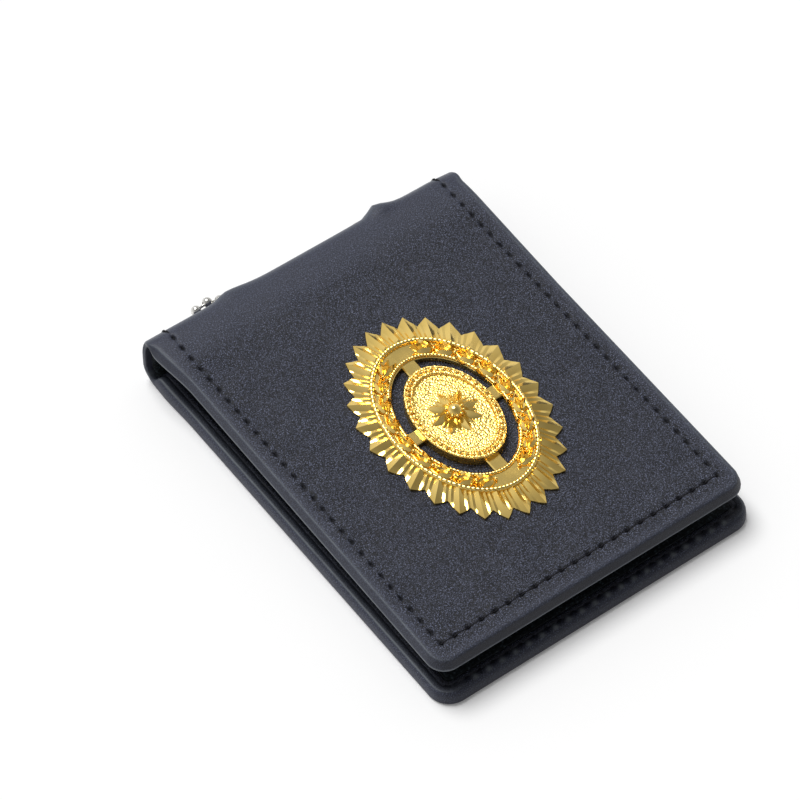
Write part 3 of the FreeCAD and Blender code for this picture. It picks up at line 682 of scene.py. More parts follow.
def leather_half(name, half, edge, groove_side, groove_front, inner_row):
    """A closed shell: outer face, rounded edges, wall, turned hem and the inner side of the leather."""
    shape = Shape()
    bases = []
    front_share = half.ahead_share()
    beat = half.beat()

    def ring(side, depth, unrolled, fold_side=None, wear_and_light=plain_wear_and_light, dent=0.0, pull=0.0):
        x, s = half.ring(side, fold_side)
        u, v = half.ring(unrolled)
        share = half.panel_share(s)
        pits, dark = half.pits(x, s, groove_side, groove_front) if dent else (0.0, 0.0)
        pulled = pull * beat * front_share
        s = s + scallop_inset * pulled
        d = depth(share) + dent * pits - scallop_fall * pulled - fold_bump(half, x, s)
        side_wear_and_highlight, front_wear_and_highlight, side_painted_shade, front_painted_shade = wear_and_light
        # Painted glints: along the front of the inner row the painted highlight is kept to the bulges between
        # the needle holes.
        if pull:
            front_wear_and_highlight = front_wear_and_highlight * (1 - beat) ** 3
        worn_and_highlit = (side_wear_and_highlight + (front_wear_and_highlight - side_wear_and_highlight) * front_share) * (0.35 + 0.65 * share)
        worn_and_highlit = np.maximum(worn_and_highlit, fold_wear_and_sheen(half, s))
        # Painted highlight line along the right edge of the top face, where its rounding begins.
        if side == edge[0][0]:
            worn_and_highlit = np.maximum(worn_and_highlit, right_highlight_line * (x > 0) * (1 - front_share) * share)
        # Painted shade on edge walls and undersides, more at the front, which faces away from the light.
        edge_painted_shade = side_painted_shade + (front_painted_shade - side_painted_shade) * front_share
        bases.append(shape.add(half.wrap(x, s, d), flat=np.stack([u, v], 1), wear=worn_and_highlit,
                               grain=grain_share(half, x, s), painted_shade=np.maximum(dark, edge_painted_shade)))

    def level(on_panel, in_fold):
        return lambda share: in_fold + (on_panel - in_fold) * share

    row = half.side_margin
    start = edge[0][0]
    insets = [half.zone_x, (half.zone_x + row + row_steps[0]) / 2] + [row + e for e in row_steps]
    insets = [e for e in insets if e > start + line_gap]
    insets += [e for e in border_insets if start + line_gap < e < row - row_steps[0] - row_gap]
    for inset in insets:
        ring(inset, level(0.0, 0.0), inset, dent=1.0)
    unrolled = start
    before = edge[0]
    for step in edge:
        inset, depth, fold_inset, fold_depth = step[:4]
        unrolled -= math.hypot(inset - before[0], depth - before[1])
        before = step
        pull = min(max(2 * inset - 1, 0.0), 1.0) if inner_row else 0.0
        ring(inset, level(depth, fold_depth), unrolled, fold_inset, step[4:], pull=pull)
    if inner_row:
        for e in row_steps[::-1]:
            inset = row - e
            if inset > max(start + line_gap, edge[-1][0] + row_gap):
                fall = valley_fall * max(0.0, 1 - (e / valley_reach) ** 2)
                depth = level(half.deep - fall, fold_deep)
                ring(inset, depth, unrolled - inset, wear_and_light=valley_painted_shade, dent=-1.0)
    hem = half.hem_width
    ring(hem, level(half.deep, fold_deep), unrolled - hem)
    ring(hem + rim_wide, level(half.deep - rim_fall, fold_deep - rim_fall), unrolled - hem - 2 * rim_wide)
    for inset in (hem, hem_start):
        ring(inset, level(half.deep - half.hem, fold_deep - fold_hem), unrolled - hem - 1)
    for inset in (hem_start, half.zone_x):
        ring(inset, level(leather, leather), inset)
    shape.faces.extend(lattice(len(bases), len(front_share)))
    fill_middle(shape, half, bases[0], 0.0, True)
    fill_middle(shape, half, bases[-1], leather, False)
    return make_piece(name, shape, cover_leather, close=True)


def fill_middle(shape, half, base, depth, wavy, cell=5, bend_cell=2, bend_spare=2):
    """The middle of a face, in larger cells that take in every point of the ring round them."""
    sides = len(half.side_s)
    fronts = len(half.front_x)
    left = [base + j for j in range(sides)]
    front = [base + sides + corner_steps + k for k in range(fronts)]
    right = [base + 2 * sides + 2 * corner_steps + fronts - 1 - j for j in range(sides)]
    in_bend = int(np.searchsorted(half.side_s, half.bend_end + bend_spare))
    rows = sorted(set(range(0, in_bend, bend_cell)) | set(range(in_bend, sides, cell)) | {sides - 1})
    columns = sorted(set(range(0, fronts, cell)) | {fronts - 1})
    x, s = np.meshgrid(half.front_x[columns[1:-1]], half.side_s[rows[:-1]])
    x, s = x.ravel(), s.ravel()
    d = depth - fold_bump(half, x, s) + (soft_wave(x, s) if wavy else 0.0)
    start = shape.add(half.wrap(x, s, d), flat=np.stack([x, s], 1), grain=grain_share(half, x, s),
                      wear=fold_wear_and_sheen(half, s) if wavy else 0.0)

    def corner(a, b):
        if b == 0:
            return left[rows[a]]
        if b == len(columns) - 1:
            return right[rows[a]]
        if a == len(rows) - 1:
            return front[columns[b]]
        return start + a * (len(columns) - 2) + b - 1

    for a in range(len(rows) - 1):
        for b in range(len(columns) - 1):
            loop = [corner(a, b), corner(a, b + 1)]
            if b + 2 == len(columns):
                loop += right[rows[a] + 1:rows[a + 1]]
            loop.append(corner(a + 1, b + 1))
            if a + 2 == len(rows):
                loop += front[columns[b] + 1:columns[b + 1]][::-1]
            loop.append(corner(a + 1, b))
            if b == 0:
                loop += left[rows[a] + 1:rows[a + 1]][::-1]
            shape.faces.append(loop)


cover_skin = leather_half("front_leather", cover, cover_edge, groove_side=0.05, groove_front=0.14,
                          inner_row=False)
cut_eyelet_holes(cover_skin)
assign(cover_skin, bend_cover, "cover_leather", "front_cover", "upper_fold_leather", "spine_leather")
rear_skin = leather_half("rear_leather", rear, rear_edge, groove_side=0.05, groove_front=0.1, inner_row=True)
assign(rear_skin, bend_rear, "cover_leather", "rear_cover", "lower_fold_leather")


# Threads
def unit(v):
    v = np.asarray(v, float)
    return v / np.linalg.norm(v)


def tube(shape, path, radius, sides=7):
    """A round closed tube along a line of points."""
    path = np.asarray(path, float)
    way = np.gradient(path, axis=0)
    way /= np.linalg.norm(way, axis=1)[:, None]
    helper = np.array([0.31, 0.17, 0.93]) if abs(way[0][2]) < 0.9 else np.array([0.93, 0.2, 0.1])
    rings = []
    for point, ahead in zip(path, way):
        helper = unit(helper - ahead * (helper @ ahead))
        across = np.cross(ahead, helper)
        rings.append([point + radius * (helper * math.cos(t) + across * math.sin(t)) for t in turns(sides)])
    count = len(path)
    ends = [list(range(sides))[::-1], [(count - 1) * sides + k for k in range(sides)]]
    lengths = np.linalg.norm(np.diff(path, axis=0), axis=1)
    along = np.repeat(np.concatenate([[0], np.cumsum(lengths)]), sides)
    around = np.tile(np.arange(sides) / sides, count)
    shape.add(rings, lattice(count, sides, columns_close=True) + ends, flat=np.stack([around, along], 1))


def stitch_holes(half, from_s):
    """Flat places of the needle holes: down the left side, along the front and back up the right."""
    count = int((half.row_s - from_s) / pitch)
    side = [half.row_s - pitch * i for i in range(count, 0, -1)]
    fronts = int(round(2 * half.row_x / pitch))
    front = np.linspace(-half.row_x, half.row_x, fronts + 1)
    return ([(-half.row_x, s) for s in side] + [(x, half.row_s) for x in front]
            + [(half.row_x, s) for s in side[::-1]])


thread_radius = 0.18
thread_dip = 0.42


def stitches(shape, half, from_s, face_depth, inward, lay_side, lay_front, lay_fold):
    """One length of thread between each two holes, dipping into the leather at both ends."""
    holes = stitch_holes(half, from_s)
    share = np.linspace(0, 1, 11)
    for (x0, s0), (x1, s1) in zip(holes, holes[1:]):
        s = s0 + (s1 - s0) * share
        x = x0 + (x1 - x0) * share
        lay = lay_front if s0 == s1 else lay_side
        lay = lay_fold + (lay - lay_fold) * rise(s, half.bend_end - 2.5, half.bend_end - 0.5)
        depth = lay + thread_dip * np.abs(2 * share - 1) ** 5
        tube(shape, half.wrap(x, s, face_depth + inward * depth - fold_bump(half, x, s)), thread_radius)


# Flat pieces inside the panels
def plate(loops, thickness, bevel):
    """Points and faces of a flat plate with rounded edges: outline anticlockwise, openings clockwise."""
    curve = bpy.data.curves.new("plate", "CURVE")
    curve.dimensions = "2D"
    curve.fill_mode = "BOTH"
    curve.extrude = thickness / 2 - bevel
    curve.bevel_depth = bevel
    curve.bevel_resolution = 2
    curve.offset = -bevel
    for loop in loops:
        spline = curve.splines.new("POLY")
        spline.points.add(len(loop) - 1)
        spline.points.foreach_set("co", np.array([(x, y, 0, 1) for x, y in loop], np.float32).ravel())
        spline.use_cyclic_u = True
    holder = bpy.data.objects.new("plate", curve)
    bpy.context.scene.collection.objects.link(holder)
    mesh = bpy.data.meshes.new_from_object(holder)
    points = mesh_points(mesh)
    faces = [list(p.vertices) for p in mesh.polygons]
    bpy.data.objects.remove(holder)
    bpy.data.curves.remove(curve)
    bpy.data.meshes.remove(mesh)
    return points, faces


def arc(centre, radius, start_deg, end_deg, steps=10):
    angles = [math.radians(start_deg + (end_deg - start_deg) * k / steps) for k in range(steps + 1)]
    return [(centre[0] + radius * math.cos(t), centre[1] + radius * math.sin(t)) for t in angles]


def round_front(wide, far, radius, steps=10):
    """The two round corners of an outline at the front edge."""
    return (arc((wide - radius, far - radius), radius, 0, 90, steps)
            + arc((-wide + radius, far - radius), radius, 90, 180, steps))


def panel_outline(wide, back, far, radius):
    """Straight back at the fold, two round corners at the front; the second value grows towards the front."""
    return [(-wide, back), (wide, back)] + round_front(wide, far, radius)


def lay_plate(shape, half, loops, top, thickness, bevel):
    """Puts a plate into a panel, between the depth top and top + thickness."""
    points, faces = plate(loops, thickness, bevel)
    depth = top + thickness / 2 + points[:, 2]
    placed = half.wrap(points[:, 0], half.bend_end + points[:, 1], depth)
    shape.add(placed, faces, flat=points[:, :2], grain=0.8)


def depths(node, half):
    """The two depths of a flat node under the outer face of its panel."""
    points = node_points(node)
    values = laid_flat(points)[:, 2] if half is cover else points[:, 2]
    return values.min(), values.max()


def sheet_in_panel(name, half, node, body, slot, material, inset, back, radius, bevel, spare):
    """A plate that fills its node's depth, apart from the spare, inside the outline of its panel."""
    low, high = depths(node, half)
    shape = Shape()
    outline = panel_outline(half.wide - inset, back, half.reach - inset, radius)
    lay_plate(shape, half, [outline], low + spare, high - low - 2 * spare, bevel)
    return assign(make_piece(name, shape, material), body, slot, node)


for name, half, inset, node, body in (("front_lining_sheet", cover, 0.9, "front_lining", "front_panel"),
                                      ("rear_lining_sheet", rear, 1.35, "rear_lining", "rear_panel")):
    sheet_in_panel(name, half, node, body, "lining_leather", lining_leather, inset, back=0.6,
                   radius=corner_radius - inset, bevel=0.12, spare=0.0)

# Slip pocket: a dipped mouth with a folded edge
pocket_low = depths("slip_pocket", cover)[0]
mouth_along = laid_flat(node_points("slip_pocket"))[:, 1].min()
mouth_dip = 5.0
mouth_radius = 26.0
mouth_steps = 20
mouth_fold_inset = 1.2
mouth_fold_along = 0.5
mouth_fold_depth = 0.62
pocket_inset = 1.6
pocket_sheet = 0.35
pocket_border = 5.0
border_start = mouth_along + 1.5


def pocket_outline(inset):
    half_open = math.sqrt(mouth_radius ** 2 - (mouth_radius - mouth_dip) ** 2)
    reach = math.degrees(math.asin(half_open / mouth_radius))
    wide = cover_wide - inset
    centre = (0, mouth_along + mouth_dip - mouth_radius)
    dip = arc(centre, mouth_radius, 90 + reach, 90 - reach, mouth_steps)
    return ([(-wide, mouth_along)] + dip + [(wide, mouth_along)]
            + round_front(wide, cover_reach - inset, corner_radius - inset))


def pocket_rim():
    """The border of the pocket along both sides and the front."""
    wide = cover_wide - pocket_inset
    far = cover_reach - pocket_inset
    inner = round_front(wide - pocket_border, far - pocket_border, 1.0)
    rim = [(-wide, border_start), (pocket_border - wide, border_start)] + inner[::-1]
    rim += [(wide - pocket_border, border_start), (wide, border_start)]
    return rim + round_front(wide, far, corner_radius - pocket_inset)


pocket = Shape()
lay_plate(pocket, cover, [pocket_outline(pocket_inset)], pocket_low + pocket_sheet, pocket_sheet, bevel=0.16)
lay_plate(pocket, cover, [pocket_rim()], pocket_low + 0.02, pocket_sheet - 0.02, bevel=0.1)
mouth_fold = np.array(pocket_outline(pocket_inset + mouth_fold_inset)[1:mouth_steps + 2])
mouth_s = cover.bend_end + mouth_fold_along + mouth_fold[:, 1]
tube(pocket, cover.wrap(mouth_fold[:, 0], mouth_s, pocket_low + mouth_fold_depth), radius=0.2, sides=8)
pocket_panel = make_piece("slip_pocket_panel", pocket, lining_leather)
assign(pocket_panel, "front_panel", "lining_leather", "slip_pocket")

# Card frame: spacers at three sides and a windowed panel over the film
frame_low, frame_high = depths("card_frame", rear)
film_high = depths("card_window", rear)[1]
film_box = box_mm("card_window")
film_lap = 3.0
film_gap = 0.01
frame_spare = 0.05
frame_edge = rear.hem_width + 0.15
frame_wide = rear_wide - frame_edge
frame_back = fold_y - node_points("card_frame")[:, 1].max()
frame_front = rear_reach - frame_edge
frame_corner = 1.2
window_wide = film_box[1][0] - film_lap
window_back = fold_y - film_box[1][1] + film_lap
window_front = fold_y - film_box[0][1] - film_lap
window_radius = 3.0
thumb_radius = 9.0
card_half_width = 28.0
card_stop = rear_reach - 6.0


def window_loop():
    loop = []
    for x, ahead, start in ((-1, False, 180), (-1, True, 90), (1, True, 0), (1, False, -90)):
        along = window_front - window_radius if ahead else window_back + window_radius
        loop += arc((x * (window_wide - window_radius), along), window_radius, start + 90, start, 8)
    return loop


notch = arc((0, frame_back), thumb_radius, 180, 0, 18)
frame_loop = [(-frame_wide, frame_back)] + notch + [(frame_wide, frame_back)]
frame_loop += round_front(frame_wide, frame_front, frame_corner, 5)
spacer_loop = [(-frame_wide, frame_back), (-card_half_width, frame_back), (-card_half_width, card_stop),
               (card_half_width, card_stop), (card_half_width, frame_back), (frame_wide, frame_back),
               (frame_wide, frame_front), (-frame_wide, frame_front)]
card_holder = Shape()
lay_plate(card_holder, rear, [spacer_loop], frame_low, film_high - frame_low, bevel=0.08)
lay_plate(card_holder, rear, [frame_loop, window_loop()], film_high + film_gap,
          frame_high - film_high - frame_spare, bevel=0.14)
holder_panel = make_piece("card_frame_panel", card_holder, lining_leather)
assign(holder_panel, "rear_panel", "lining_leather", "card_frame")

# Threads of the two halves: outside, and inside from where the pocket or the card frame starts
thread_start = 0.2
pocket_start = cover.bend_end + mouth_along + 3
pocket_face = pocket_low + 2 * pocket_sheet
cover_threads = Shape()
stitches(cover_threads, cover, thread_start, 0.0, 1, lay_side=0.42, lay_front=0.16, lay_fold=-0.1)
stitches(cover_threads, cover, pocket_start, pocket_face, -1, lay_side=0.06, lay_front=0.06, lay_fold=0.06)
assign(make_piece("front_thread", cover_threads, thread), bend_cover, "thread", "front_stitching")
frame_start = rear.bend_end + 5
valley_face = rear.deep - valley_fall
rear_threads = Shape()
stitches(rear_threads, rear, thread_start, 0.0, 1, lay_side=0.42, lay_front=0.16, lay_fold=-0.1)
stitches(rear_threads, rear, frame_start, valley_face, -1, lay_side=0.06, lay_front=0.04, lay_fold=0.06)
assign(make_piece("rear_thread", rear_threads, thread), bend_rear, "thread", "rear_stitching")

# Felt pads inside the panels
for name, half, inset, node, body in (("front_felt", cover, 6.4, "front_padding", "front_panel"),
                                      ("rear_felt", rear, 3.6, "rear_padding", "rear_panel")):
    pad = sheet_in_panel(name, half, node, body, "padding", felt, inset, back=4.5, radius=1.6, bevel=0.3,
                         spare=0.03)


# Lining of the fold, in two strips that meet on the spine
def fold_strip(name, half, inset=1.6, gap=0.03, thickness=0.59, past_bend=0.35):
    shape = Shape()
    along = np.concatenate([np.linspace(0, half.bend_end, 26), [half.bend_end + past_bend]])
    across = np.linspace(inset - fold_left, fold_right - inset, 40)
    s, x = [grid.ravel() for grid in np.meshgrid(along, across, indexing="ij")]
    for depth in (leather + gap, leather + gap + thickness):
        shape.add(half.wrap(x, s, depth - fold_bump(half, x, s)), flat=np.stack([x, s], 1), grain=0.8)
    shape.faces.extend(slab_faces(len(along), len(across)))
    return make_piece(name, shape, lining_leather)


upper_lining = fold_strip("upper_fold_lining_strip", cover)
lower_lining = fold_strip("lower_fold_lining_strip", rear)
cut_eyelet_holes(upper_lining)
assign(upper_lining, bend_cover, "lining_leather", "upper_fold_lining", "spine_lining")
assign(lower_lining, bend_rear, "lining_leather", "lower_fold_lining")


# Eyelets and ball chain
def revolve(shape, profile, origin, axis, steps):
    """A closed ring turned about an axis, from a closed loop of radius and height."""
    axis = unit(axis)
    side = unit(np.cross(axis, (0.3, 0.2, 0.9) if abs(axis[2]) < 0.8 else (0.9, 0.1, 0.2)))
    other = np.cross(axis, side)
    points = []
    for turn in turns(steps):
        out = side * math.cos(turn) + other * math.sin(turn)
        points += [np.asarray(origin) + out * radius + axis * height for radius, height in profile]
    shape.add(points, lattice(steps, len(profile), True, True))


def islands(node):
    """The points of each separate solid of a node."""
    points = node_points(node)
    keys = {}
    ids = [keys.setdefault(tuple(np.round(p, 4)), len(keys)) for p in points]
    parent = list(range(len(keys)))

    def root(i):
        while parent[i] != i:
            parent[i] = parent[parent[i]]
            i = parent[i]
        return i

    for face in frame["nodes"][node].data.polygons:
        first = root(ids[face.vertices[0]])
        for v in face.vertices[1:]:
            parent[root(ids[v])] = first
    groups = {}
    for key, i in keys.items():
        groups.setdefault(root(i), []).append(key)
    return [np.array(group) for group in groups.values()]


bead_radius = 1.1
bead_wall = 0.2
bead_hole = 0.42


def ball_centre(points):
    """The middle of a ball from the points that lie on it."""
    centre = (points.min(0) + points.max(0)) / 2
    for _ in range(4):
        on = points[np.linalg.norm(points - centre, axis=1) > 0.95 * bead_radius]
        table = np.hstack([2 * on, np.ones((len(on), 1))])
        centre = np.linalg.lstsq(table, (on ** 2).sum(1), rcond=None)[0][:3]
    return centre


bead_centres = np.array([ball_centre(group) for group in islands("chain_beads")])
link_pairs = []
for group in islands("chain_links"):
    gaps = np.linalg.norm(bead_centres - group.mean(0), axis=1)
    link_pairs.append(tuple(np.argsort(gaps)[:2]))

beads = Shape()
hole_lean = math.asin(bead_hole / bead_radius)
leans = np.linspace(hole_lean, math.pi - hole_lean, 15)
inner_radius = bead_radius - bead_wall
bead_loop = [(bead_radius * math.sin(a), -bead_radius * math.cos(a)) for a in leans]
bead_loop += [(inner_radius * math.sin(a), -inner_radius * math.cos(a)) for a in leans[::-1]]
for index, centre in enumerate(bead_centres):
    near = [bead_centres[b if a == index else a] for a, b in link_pairs if index in (a, b)]
    axis = near[0] - near[1] if len(near) == 2 else near[0] - centre
    revolve(beads, bead_loop, centre, axis, steps=22)
assign(make_piece("chain_balls", beads, nickel), "spine", "nickel", "chain_beads")

# Pins from bead to bead, with a head inside each of the two: radius and distance from the head's end
pin_inset = 0.42
pin_head = ((0.02, 0.0), (0.36, 0.05), (0.4, 0.18), (0.28, 0.36))
links = Shape()
for a, b in link_pairs:
    way = bead_centres[b] - bead_centres[a]
    far = np.linalg.norm(way) - pin_inset
    loop = [(radius, pin_inset + rest) for radius, rest in pin_head]
    loop += [(radius, far - rest) for radius, rest in pin_head[::-1]]
    revolve(links, loop, bead_centres[a], way, steps=12)
assign(make_piece("chain_pins", links, nickel), "spine", "nickel", "chain_links")

# Profile of an eyelet: the rounded flange outside and the rolled lip inside
flange_high = eyelet_high[1] - spine_y
lip_end = eyelet_low[1] - spine_y
lip_high = 0.2
flange = [(bore_radius, -0.2), (bore_radius + 0.04, 0.45 * flange_high),
          (bore_radius + 0.18, 0.82 * flange_high), (bore_radius + 0.45, flange_high),
          (flange_radius - 0.5, 0.9 * flange_high), (flange_radius - 0.12, 0.5 * flange_high),
          (flange_radius, 0.06), (flange_radius - 0.1, 0.0), (barrel_radius, 0.0)]
lip = [(barrel_radius, lip_end + lip_high), (barrel_radius + 0.2, lip_end + lip_high),
       (barrel_radius + 0.22, lip_end + 0.08), (barrel_radius + 0.05, lip_end),
       (bore_radius + 0.05, lip_end + 0.03), (bore_radius, lip_end + lip_high)]
eyelets = Shape()
for x, z in eyelet_places:
    revolve(eyelets, flange + lip, (x, spine_y, z), (0, 1, 0), steps=40)
assign(make_piece("eyelet_rings", eyelets, nickel), "spine", "nickel", "eyelets")

# Badge, in its own plane: right, towards the fold, up from the leather
badge_flat = laid_flat(node_points("badge_plate"))
badge_start = badge_flat[:, 1].min()
badge_end = badge_flat[:, 1].max()
badge_along = (badge_start + badge_end) / 2
badge_half_width = badge_flat[:, 0].max()
badge_half_length = (badge_end - badge_start) / 2
plate_top = 1.2


def on_badge(points):
    points = np.asarray(points, float).reshape(-1, 3)
    return cover.wrap(points[:, 0], cover.bend_end + badge_along - points[:, 1], -points[:, 2])


def oval(share, turn, height=0.0):
    """A point on the badge's oval, or on a smaller one inside it."""
    right = badge_half_width * share * math.sin(turn)
    return np.array([right, badge_half_length * share * math.cos(turn), height])


def badge_piece(name, shape, material, node, crease_deg):
    shape.points = on_badge(shape.points).tolist()
    piece = make_piece(name, shape, material)
    piece.data.set_sharp_from_angle(angle=math.radians(crease_deg))
    assign(piece, "front_panel", "gilt", node)


def strip_ring(shape, rows):
    """Faces between lines of points that each go once round the oval; the last line joins the first."""
    shape.add(rows, lattice(len(rows), len(rows[0]), True, True))


ray_count = 28
steps_per_ray = 16
ray_root_share = 0.74
ray_valley_share = 0.905
ray_tip_high = 0.38
ridge_high = 0.95
ridge_half_share = 0.52
flute_high = 0.4
flute_place_share = 0.74
flute_half_share = 0.22
band_inner_share = 0.57
medallion_share = 0.46


def ray_relief(u, side):
    """Height over the sloping ground, from root to tip and from the middle of a ray to its side."""
    ridge = ridge_high * (1 - 0.75 * u) * max(0.0, 1 - side / ridge_half_share)
    flute = flute_high * (1 - 0.7 * u) * max(0.0, 1 - abs(side - flute_place_share) / flute_half_share)
    return max(ridge, flute) * min(1.0, 8 * u + 0.02)


def ray_ring():
    """A ring of pointed rays: each has a sharp ridge with a lower flute on both sides."""
    angles = turns(ray_count * steps_per_ray)
    across = [abs((k % steps_per_ray) / steps_per_ray * 2 - 1) for k in range(len(angles))]
    band = ((band_inner_share, 0.0), (band_inner_share, plate_top - 0.12),
            (band_inner_share + 0.006, plate_top), (ray_root_share - 0.012, plate_top))
    rows = [[oval(share, t, height) for t in angles] for share, height in band]
    for u in np.linspace(0, 1, 9):
        line = []
        for t, side in zip(angles, across):
            tip = 1 - (1 - ray_valley_share) * side
            ground = plate_top + (ray_tip_high - plate_top) * u
            line.append(oval(ray_root_share + (tip - ray_root_share) * u, t, ground + ray_relief(u, side)))
        rows.append(line)
    rows.append([p * np.array([1, 1, 0]) for p in rows[-1]])
    shape = Shape()
    strip_ring(shape, rows)
    return shape


def bar(shape, half_x, half_y, top, bevel=0.2):
    """A flat bar with bevelled edges, centred on the badge."""
    points = []
    for inset, height in ((0.0, 0.0), (0.0, top - bevel), (bevel, top)):
        x, y = half_x - inset, half_y - inset
        points += [(-x, -y, height), (x, -y, height), (x, y, height), (-x, y, height)]
    shape.add(points, lattice(3, 4, columns_close=True) + [[3, 2, 1, 0], [8, 9, 10, 11]])


bar_half_width = 1.6
bar_lap = 0.6
plate_shape = ray_ring()
bar(plate_shape, badge_half_width * band_inner_share + bar_lap, bar_half_width, plate_top - 0.05)
bar(plate_shape, bar_half_width, badge_half_length * band_inner_share + bar_lap, plate_top - 0.1)
badge_piece("badge_rays", plate_shape, gilt, "badge_plate", crease_deg=25)


def rope(shape, share, height, radius, twists=110, sides=10, steps_per_twist=8):
    """A twisted two-strand rope lying along the oval."""
    angles = turns(twists * steps_per_twist)
    rows = []
    for angle in turns(sides):
        line = []
        for k, t in enumerate(angles):
            out = unit([badge_half_length * math.sin(t), badge_half_width * math.cos(t), 0])
            bulge = radius * (0.82 + 0.26 * abs(math.cos(angle - math.pi * k / steps_per_twist)))
            up = np.array([0, 0, bulge * math.sin(angle)])
            line.append(oval(share, t, height) + out * (bulge * math.cos(angle)) + up)
        rows.append(line)
    strip_ring(shape, rows)


ropes = Shape()
rope(ropes, ray_root_share + 0.003, plate_top + 0.25, 0.52)
rope(ropes, band_inner_share + 0.022, plate_top + 0.12, 0.36)
badge_piece("badge_ropes", ropes, gilt, "badge_plate", crease_deg=60)


def blade(shape, root, along, side, long, lengths, half_width, height, below, widths=9):
    """A leaf or petal: its half width at a share of its length, its height there and across, flat below."""
    points = []
    for u in np.linspace(0, 1, lengths):
        for v in np.linspace(-1, 1, widths):
            up = np.array([0, 0, height(u, abs(v))])
            points.append(root + along * (long * u) + side * (half_width(u) * v) + up)
    points += [np.array([p[0], p[1], root[2] - below]) for p in points]
    shape.add(points, slab_faces(lengths, widths))


def leaf(shape, root, heading, long, wide, high):
    """A pointed leaf with a raised midrib and side veins."""
    def half_width(u):
        return wide / 2 * max(0.0, math.sin(math.pi * u ** 0.8)) ** 0.85

    def height(u, v):
        crown = (1 - v ** 1.6) * math.sin(math.pi * min(1, u * 0.96 + 0.02)) ** 0.6
        rib = 0.22 * max(0, 1 - v / 0.3)
        vein = 0.07 * math.cos(22 * u - 5 * v)
        return high * crown * (1 + rib + vein)

    along = np.array([math.sin(heading), math.cos(heading), 0])
    side = np.array([along[1], -along[0], 0])
    blade(shape, root, along, side, long, 13, half_width, height, below=0.2)


petal_start = 0.8


def petal(shape, turn, long, wide, high, lift):
    """A petal with a sharp keel and hollow flanks."""
    def half_width(u):
        return wide / 2 * max(0.0, math.sin(math.pi * (0.12 + 0.88 * u))) ** 0.7

    def height(u, v):
        return high * (1 - v) ** 1.4 * max(0.0, math.sin(math.pi * (0.2 + 0.8 * u))) ** 0.8

    along = np.array([math.cos(turn), math.sin(turn), 0])
    side = np.array([-along[1], along[0], 0])
    root = along * petal_start + np.array([0, 0, lift])
    blade(shape, root, along, side, long, 12, half_width, height, below=0.25)


def ball(shape, centre, radius, sides=14, rings=9):
    points = []
    for lean in np.linspace(0, math.pi, rings + 1):
        out = radius * math.sin(lean)
        points += [centre + np.array([out * math.cos(t), out * math.sin(t), radius * math.cos(lean)])
                   for t in turns(sides)]
    shape.add(points, lattice(rings + 1, sides, columns_close=True))


leaf_groups = 9
wreath_share = 0.655
wreath_open = math.radians(14)
leaf_splay = math.radians(24)
wreath = Shape()
for side in (-1, 1):
    for i in range(leaf_groups):
        turn = side * (math.pi - wreath_open - (math.pi - 2 * wreath_open) * i / leaf_groups)
        right = -side * badge_half_width * math.cos(turn)
        ahead = side * badge_half_length * math.sin(turn)
        heading = math.atan2(right, ahead)
        root = oval(wreath_share, turn, plate_top)
        for lean in (-leaf_splay, leaf_splay):
            leaf(wreath, root, heading + lean, long=4.5, wide=1.9, high=1.05)
        leaf(wreath, root, heading, long=4.8, wide=1.5, high=1.35)
        ball(wreath, oval(wreath_share, turn, plate_top + 0.45), 0.42)
badge_piece("badge_laurel", wreath, gilt, "badge_wreath", crease_deg=40)

# Dish with a pearled rim and a domed ground: share of the oval and height
pearl_count = 44
rim_share = medallion_share - 0.082
dish_middle_share = 0.02
dish = [(medallion_share, 0.0), (medallion_share, 2.1), (medallion_share - 0.008, 2.3),
        (medallion_share - 0.02, 2.32), (medallion_share - 0.026, 2.12), (rim_share + 0.024, 2.12),
        (rim_share + 0.018, 2.36), (rim_share + 0.006, 2.36), (rim_share, 2.2), (rim_share - 0.008, 1.75)]
for share in np.linspace(rim_share - 0.01, dish_middle_share, 9):
    dish.append((share, 1.72 + 0.22 * (1 - (share / rim_share) ** 2)))
dish.append((dish_middle_share, 0.0))
medallion = Shape()
strip_ring(medallion, [[oval(share, t, height) for t in turns(176)] for share, height in dish])
for turn in turns(pearl_count):
    ball(medallion, oval((medallion_share + rim_share) / 2, turn, 2.24), 0.47)
badge_piece("badge_dish", medallion, gilt_stippled, "badge_medallion", crease_deg=35)

petal_count = 8
bead_ring = 1.7
rosette = Shape()
for turn in turns(petal_count):
    petal(rosette, turn, long=4.7, wide=2.1, high=1.25, lift=1.95)
    petal(rosette, turn + math.pi / petal_count, long=3.7, wide=1.5, high=0.7, lift=1.9)
ball(rosette, np.array([0, 0, 2.3]), 1.65, sides=24, rings=14)
for turn in turns(10):
    centre = np.array([bead_ring * math.cos(turn), bead_ring * math.sin(turn), 2.95])
    ball(rosette, centre, 0.36, sides=10, rings=7)
badge_piece("badge_flower", rosette, gilt, "badge_rosette", crease_deg=35)

# Nodes that are shown as they come
for node, material in (("front_board", board), ("rear_board", board), ("card_window", film),
                       ("eyelet_washers", nickel), ("chain_connector", nickel), ("badge_studs", gilt),
                       ("stud_retainers", spring_steel)):
    frame["nodes"][node].data.materials.clear()
    frame["nodes"][node].data.materials.append(material)

# Stage
camera_place = (-306.843, -408.816, 680.354)
camera_turn_deg = (37.4786, 0.2055, -36.2314)
lens_data = bpy.data.cameras.new("camera")
lens_data.lens = 191.905
lens_data.sensor_width = 36
lens_data.clip_start = 0.01
camera = bpy.data.objects.new("camera", lens_data)
camera.location = metres(*camera_place)
camera.rotation_euler = Euler([math.radians(a) for a in camera_turn_deg])
bpy.context.scene.collection.objects.link(camera)
bpy.context.scene.camera = camera
bpy.context.scene.view_settings.view_transform = "Standard"


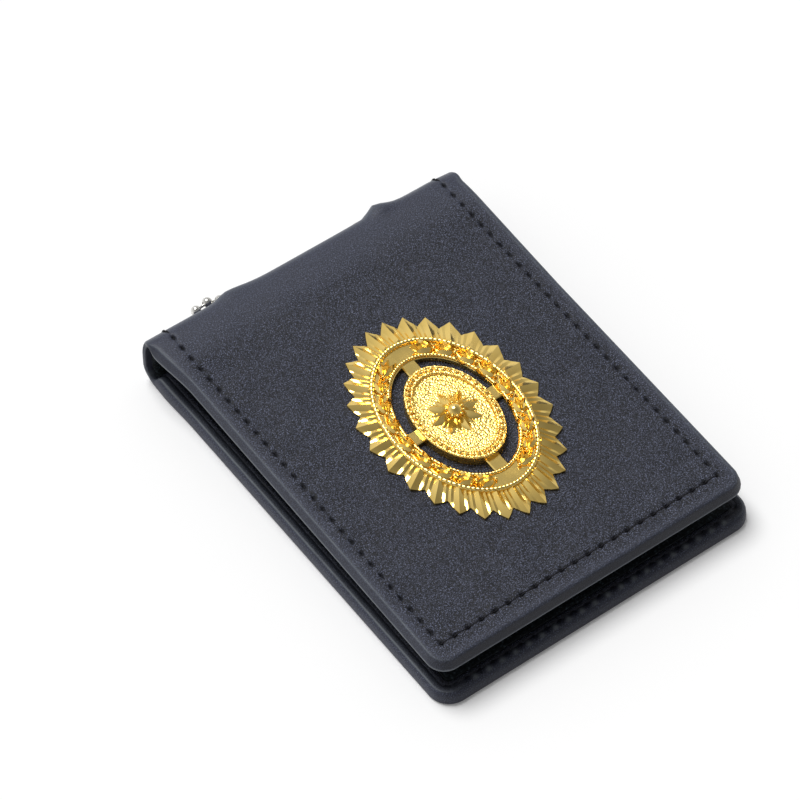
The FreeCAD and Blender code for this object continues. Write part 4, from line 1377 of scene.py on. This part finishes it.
def sun(name, source, strength, width_deg):
    """A wide soft lamp far away in the direction of source."""
    data = bpy.data.lights.new(name, "SUN")
    data.energy = strength
    data.angle = math.radians(width_deg)
    light = bpy.data.objects.new(name, data)
    light.rotation_euler = (-Vector(source)).to_track_quat("-Z", "Y").to_euler()
    bpy.context.scene.collection.objects.link(light)


def studio_world(brighter_side):
    """Light from all round, more from one side; white where it is seen directly."""
    m = Nodes(bpy.data.worlds.new("studio"))
    bpy.context.scene.world = m.owner
    m.tree.nodes.clear()
    path = m.node("LightPath").outputs
    way = m.node("TexCoord").outputs["Generated"]
    aim = m.node("VectorMath", operation="DOT_PRODUCT")
    m.feed(aim.inputs[0], way)
    m.feed(aim.inputs[1], brighter_side)
    side = aim.outputs["Value"]
    high = m.node("SeparateXYZ", Vector=way).outputs["Z"]
    shone = m.math("MULTIPLY", m.spread(high, 0.3, 0.9, 1.0, 0.45), m.spread(side, -1.0, 0.6, 0.35, 1.0))
    level = m.spread(path["Is Glossy Ray"], 0.0, 1.0, m.spread(side, -1.0, 1.0, 0.06, 0.74), shone)
    seen = m.math("MAXIMUM", path["Is Camera Ray"], path["Is Transmission Ray"])
    light = m.node("Background", Strength=m.spread(seen, 0.0, 1.0, level, 1.0))
    m.node("OutputWorld", Surface=light.outputs[0])


def pale_floor():
    """A white floor that still takes the shadow."""
    m = new_material("white_floor")
    path = m.node("LightPath").outputs
    seen = m.math("MAXIMUM", path["Is Camera Ray"], path["Is Transmission Ray"])
    seen = m.math("MAXIMUM", seen, path["Is Glossy Ray"])
    m.set(Base_Color=(0.96, 0.96, 0.96), Roughness=0.9, Specular_IOR_Level=0.1)
    m.set(Emission_Color=(1.0, 1.0, 1.0), Emission_Strength=m.math("MULTIPLY", seen, 0.09))
    mesh = bpy.data.meshes.new("floor")
    far = 6.0
    mesh.from_pydata([(-far, -far, 0), (far, -far, 0), (far, far, 0), (-far, far, 0)], [], [(0, 1, 2, 3)])
    mesh.materials.append(m.owner)
    floor = bpy.data.objects.new("floor", mesh)
    bpy.context.scene.collection.objects.link(floor)


sun("key", source=(-0.06, 0.42, 0.906), strength=2.25, width_deg=30)
studio_world(brighter_side=(-0.3, 0.954, 0.0))
pale_floor()
